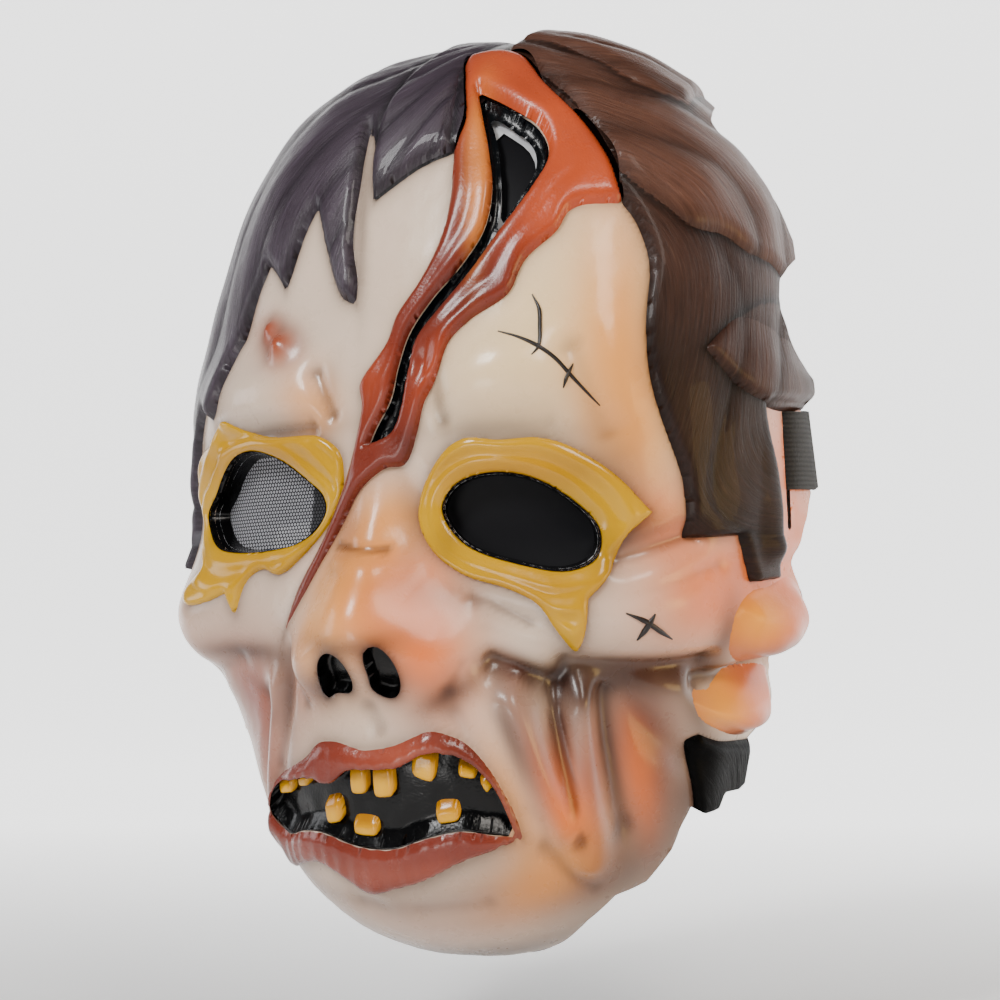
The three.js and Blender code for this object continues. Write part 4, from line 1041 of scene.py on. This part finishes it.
net_paint = netting("black netting", 1.25, (0.01, 0.01, 0.012), 0)
# the left eye's holes are painted grey, as painted light from the lit inside of the shell seen through them
net_with_painted_light = netting("black netting with painted light in its holes", 1.5, (0.26, 0.26, 0.28), 0.95)
# piece, opening, how far it stands behind the shell's inside, its netting
nets = [("eye_mesh_left", "eye_left", 3, net_with_painted_light), ("eye_mesh_right", "eye_right", 3, net_paint),
        ("wound_mesh", "split_window", 2.4, net_paint)]
net_overlap = 3.0
for name, opening, set_back, material in nets:
    line = lines[opening]
    middle = line.mean(0)
    spread = 1 + net_overlap / np.linalg.norm(line - middle, axis=1, keepdims=True)
    net = sheet([middle + (line - middle) * spread], [], 1.0)
    behind = over_skin(lambda a, u, back=wall + set_back + 0.5: -back * slant(a, u))
    piece, spots = mesh_object(name + "_net", net, behind, material, name)
    uv_from(piece.data, spots, lambda a, u: (a * 0.95, u * 0.95), "net")
    # painted shade: the nets are painted opaque near black, for the dark seen through them, apart from the
    # outer two thirds of the left one, whose holes show painted light
    painted_shade_behind = np.ones(len(spots))
    if name == "eye_mesh_left":
        painted_shade_behind[spots[:, 0] <= -41 + 0.16 * (spots[:, 1] - 17)] = 0
    piece.data.attributes.new("painted_shade_behind", "FLOAT", "POINT").data.foreach_set("value", painted_shade_behind)

# Head strap
# Black ribbed elastic, 22.5 mm wide: it goes round the back of the head, through a slot in each tab,
# and back on itself, where 18 mm of it is sewn double.
strap_width, strap_thickness, strap_rise = 22.5, 1.5, 0.12
half = strap_thickness / 2
strap_play = 0.35
outer_x, inner_x = tab_x + strap_play + half, tab_x - wall - strap_play - half
rim_y, slot_y = tab_edge_y + strap_play, (slot_front + slot_rear) / 2
lap_y = rim_y + 7.5
lap_length = 18
band_y = lap_y + lap_length
lap_x = (outer_x + inner_x) / 2 - 1
band_x, band_back_y = 74.6, 180.2
half_loop = [
    (band_x - half, band_y + 1), (lap_x - half, lap_y), (inner_x, rim_y), (inner_x, slot_y + 1.5),
    ((inner_x + outer_x) / 2, slot_y), (outer_x, slot_y + 1.5), (outer_x, rim_y - 0.5),
    (outer_x - 0.9, rim_y + 1.8), (lap_x + half, lap_y), (band_x + half, band_y)]
arc = [(band_x * math.cos(a), band_y + (band_back_y - band_y) * math.sin(a))
       for a in np.linspace(0.08, math.pi - 0.08, 15)]
strap_run = smooth_run(half_loop + arc + [(-x, y) for x, y in half_loop[::-1]], False, 9)
strap_tangent = np.gradient(strap_run, axis=0)
strap_tangent /= np.linalg.norm(strap_tangent, axis=1)[:, None]
ribs = 24
around = ([(-half * 0.92, k / ribs) for k in range(ribs + 1)] + [(0, 1.01)]
          + [(half * 0.92, 1 - k / ribs) for k in range(ribs + 1)] + [(0, -0.01)])
band = bmesh.new()
steps, sides = len(strap_run), len(around)
bmesh.ops.create_grid(band, x_segments=steps - 1, y_segments=sides, size=0.5)
for v in band.verts:
    i = round((v.co.x + 0.5) * (steps - 1))
    out, share = around[round((v.co.y + 0.5) * sides) % sides]
    x = strap_run[i, 0] + strap_tangent[i, 1] * out
    y = strap_run[i, 1] - strap_tangent[i, 0] * out
    z = strap_low + strap_width * share
    lean = tab_lean * float(ease(np.array(y), slot_y, rim_y) * (1 - ease(np.array(y), lap_y, band_y)))
    v.co = (x * mm, (y - lean * (z - strap_low)) * mm, (z + strap_rise * max(y - rim_y, 0)) * mm)
bmesh.ops.remove_doubles(band, verts=band.verts, dist=1e-7)
bmesh.ops.recalc_face_normals(band, faces=band.faces)

rib_pitch = 0.0014
elastic, tree, shader = empty_material("ribbed elastic")
spot = add_node(tree, "TexCoord", {}).outputs["Object"]
up_strap = add_node(tree, "SeparateXYZ", {0: spot}).outputs["Z"]
rib_wave = result_of(tree, "SINE", result_of(tree, "MULTIPLY", up_strap, 2 * math.pi / rib_pitch))
knit = add_node(tree, "TexNoise", {"Vector": spot, "Scale": 1500}).outputs["Fac"]
weave = result_of(tree, "MULTIPLY_ADD", rib_wave, 0.5, knit)
bump = add_node(tree, "Bump", {"Strength": 0.8, "Distance": 0.0004, "Height": weave})
tone = add_node(tree, "MapRange", {
    "Value": weave, "From Min": -0.5, "From Max": 1.5, "To Min": 0.004, "To Max": 0.025})
feed(tree, shader, {"Base Color": tone.outputs[0], "Roughness": 0.8, "Normal": bump.outputs[0]})
strap, _ = mesh_object("strap", band, lambda spots: spots, elastic, node="head_strap")
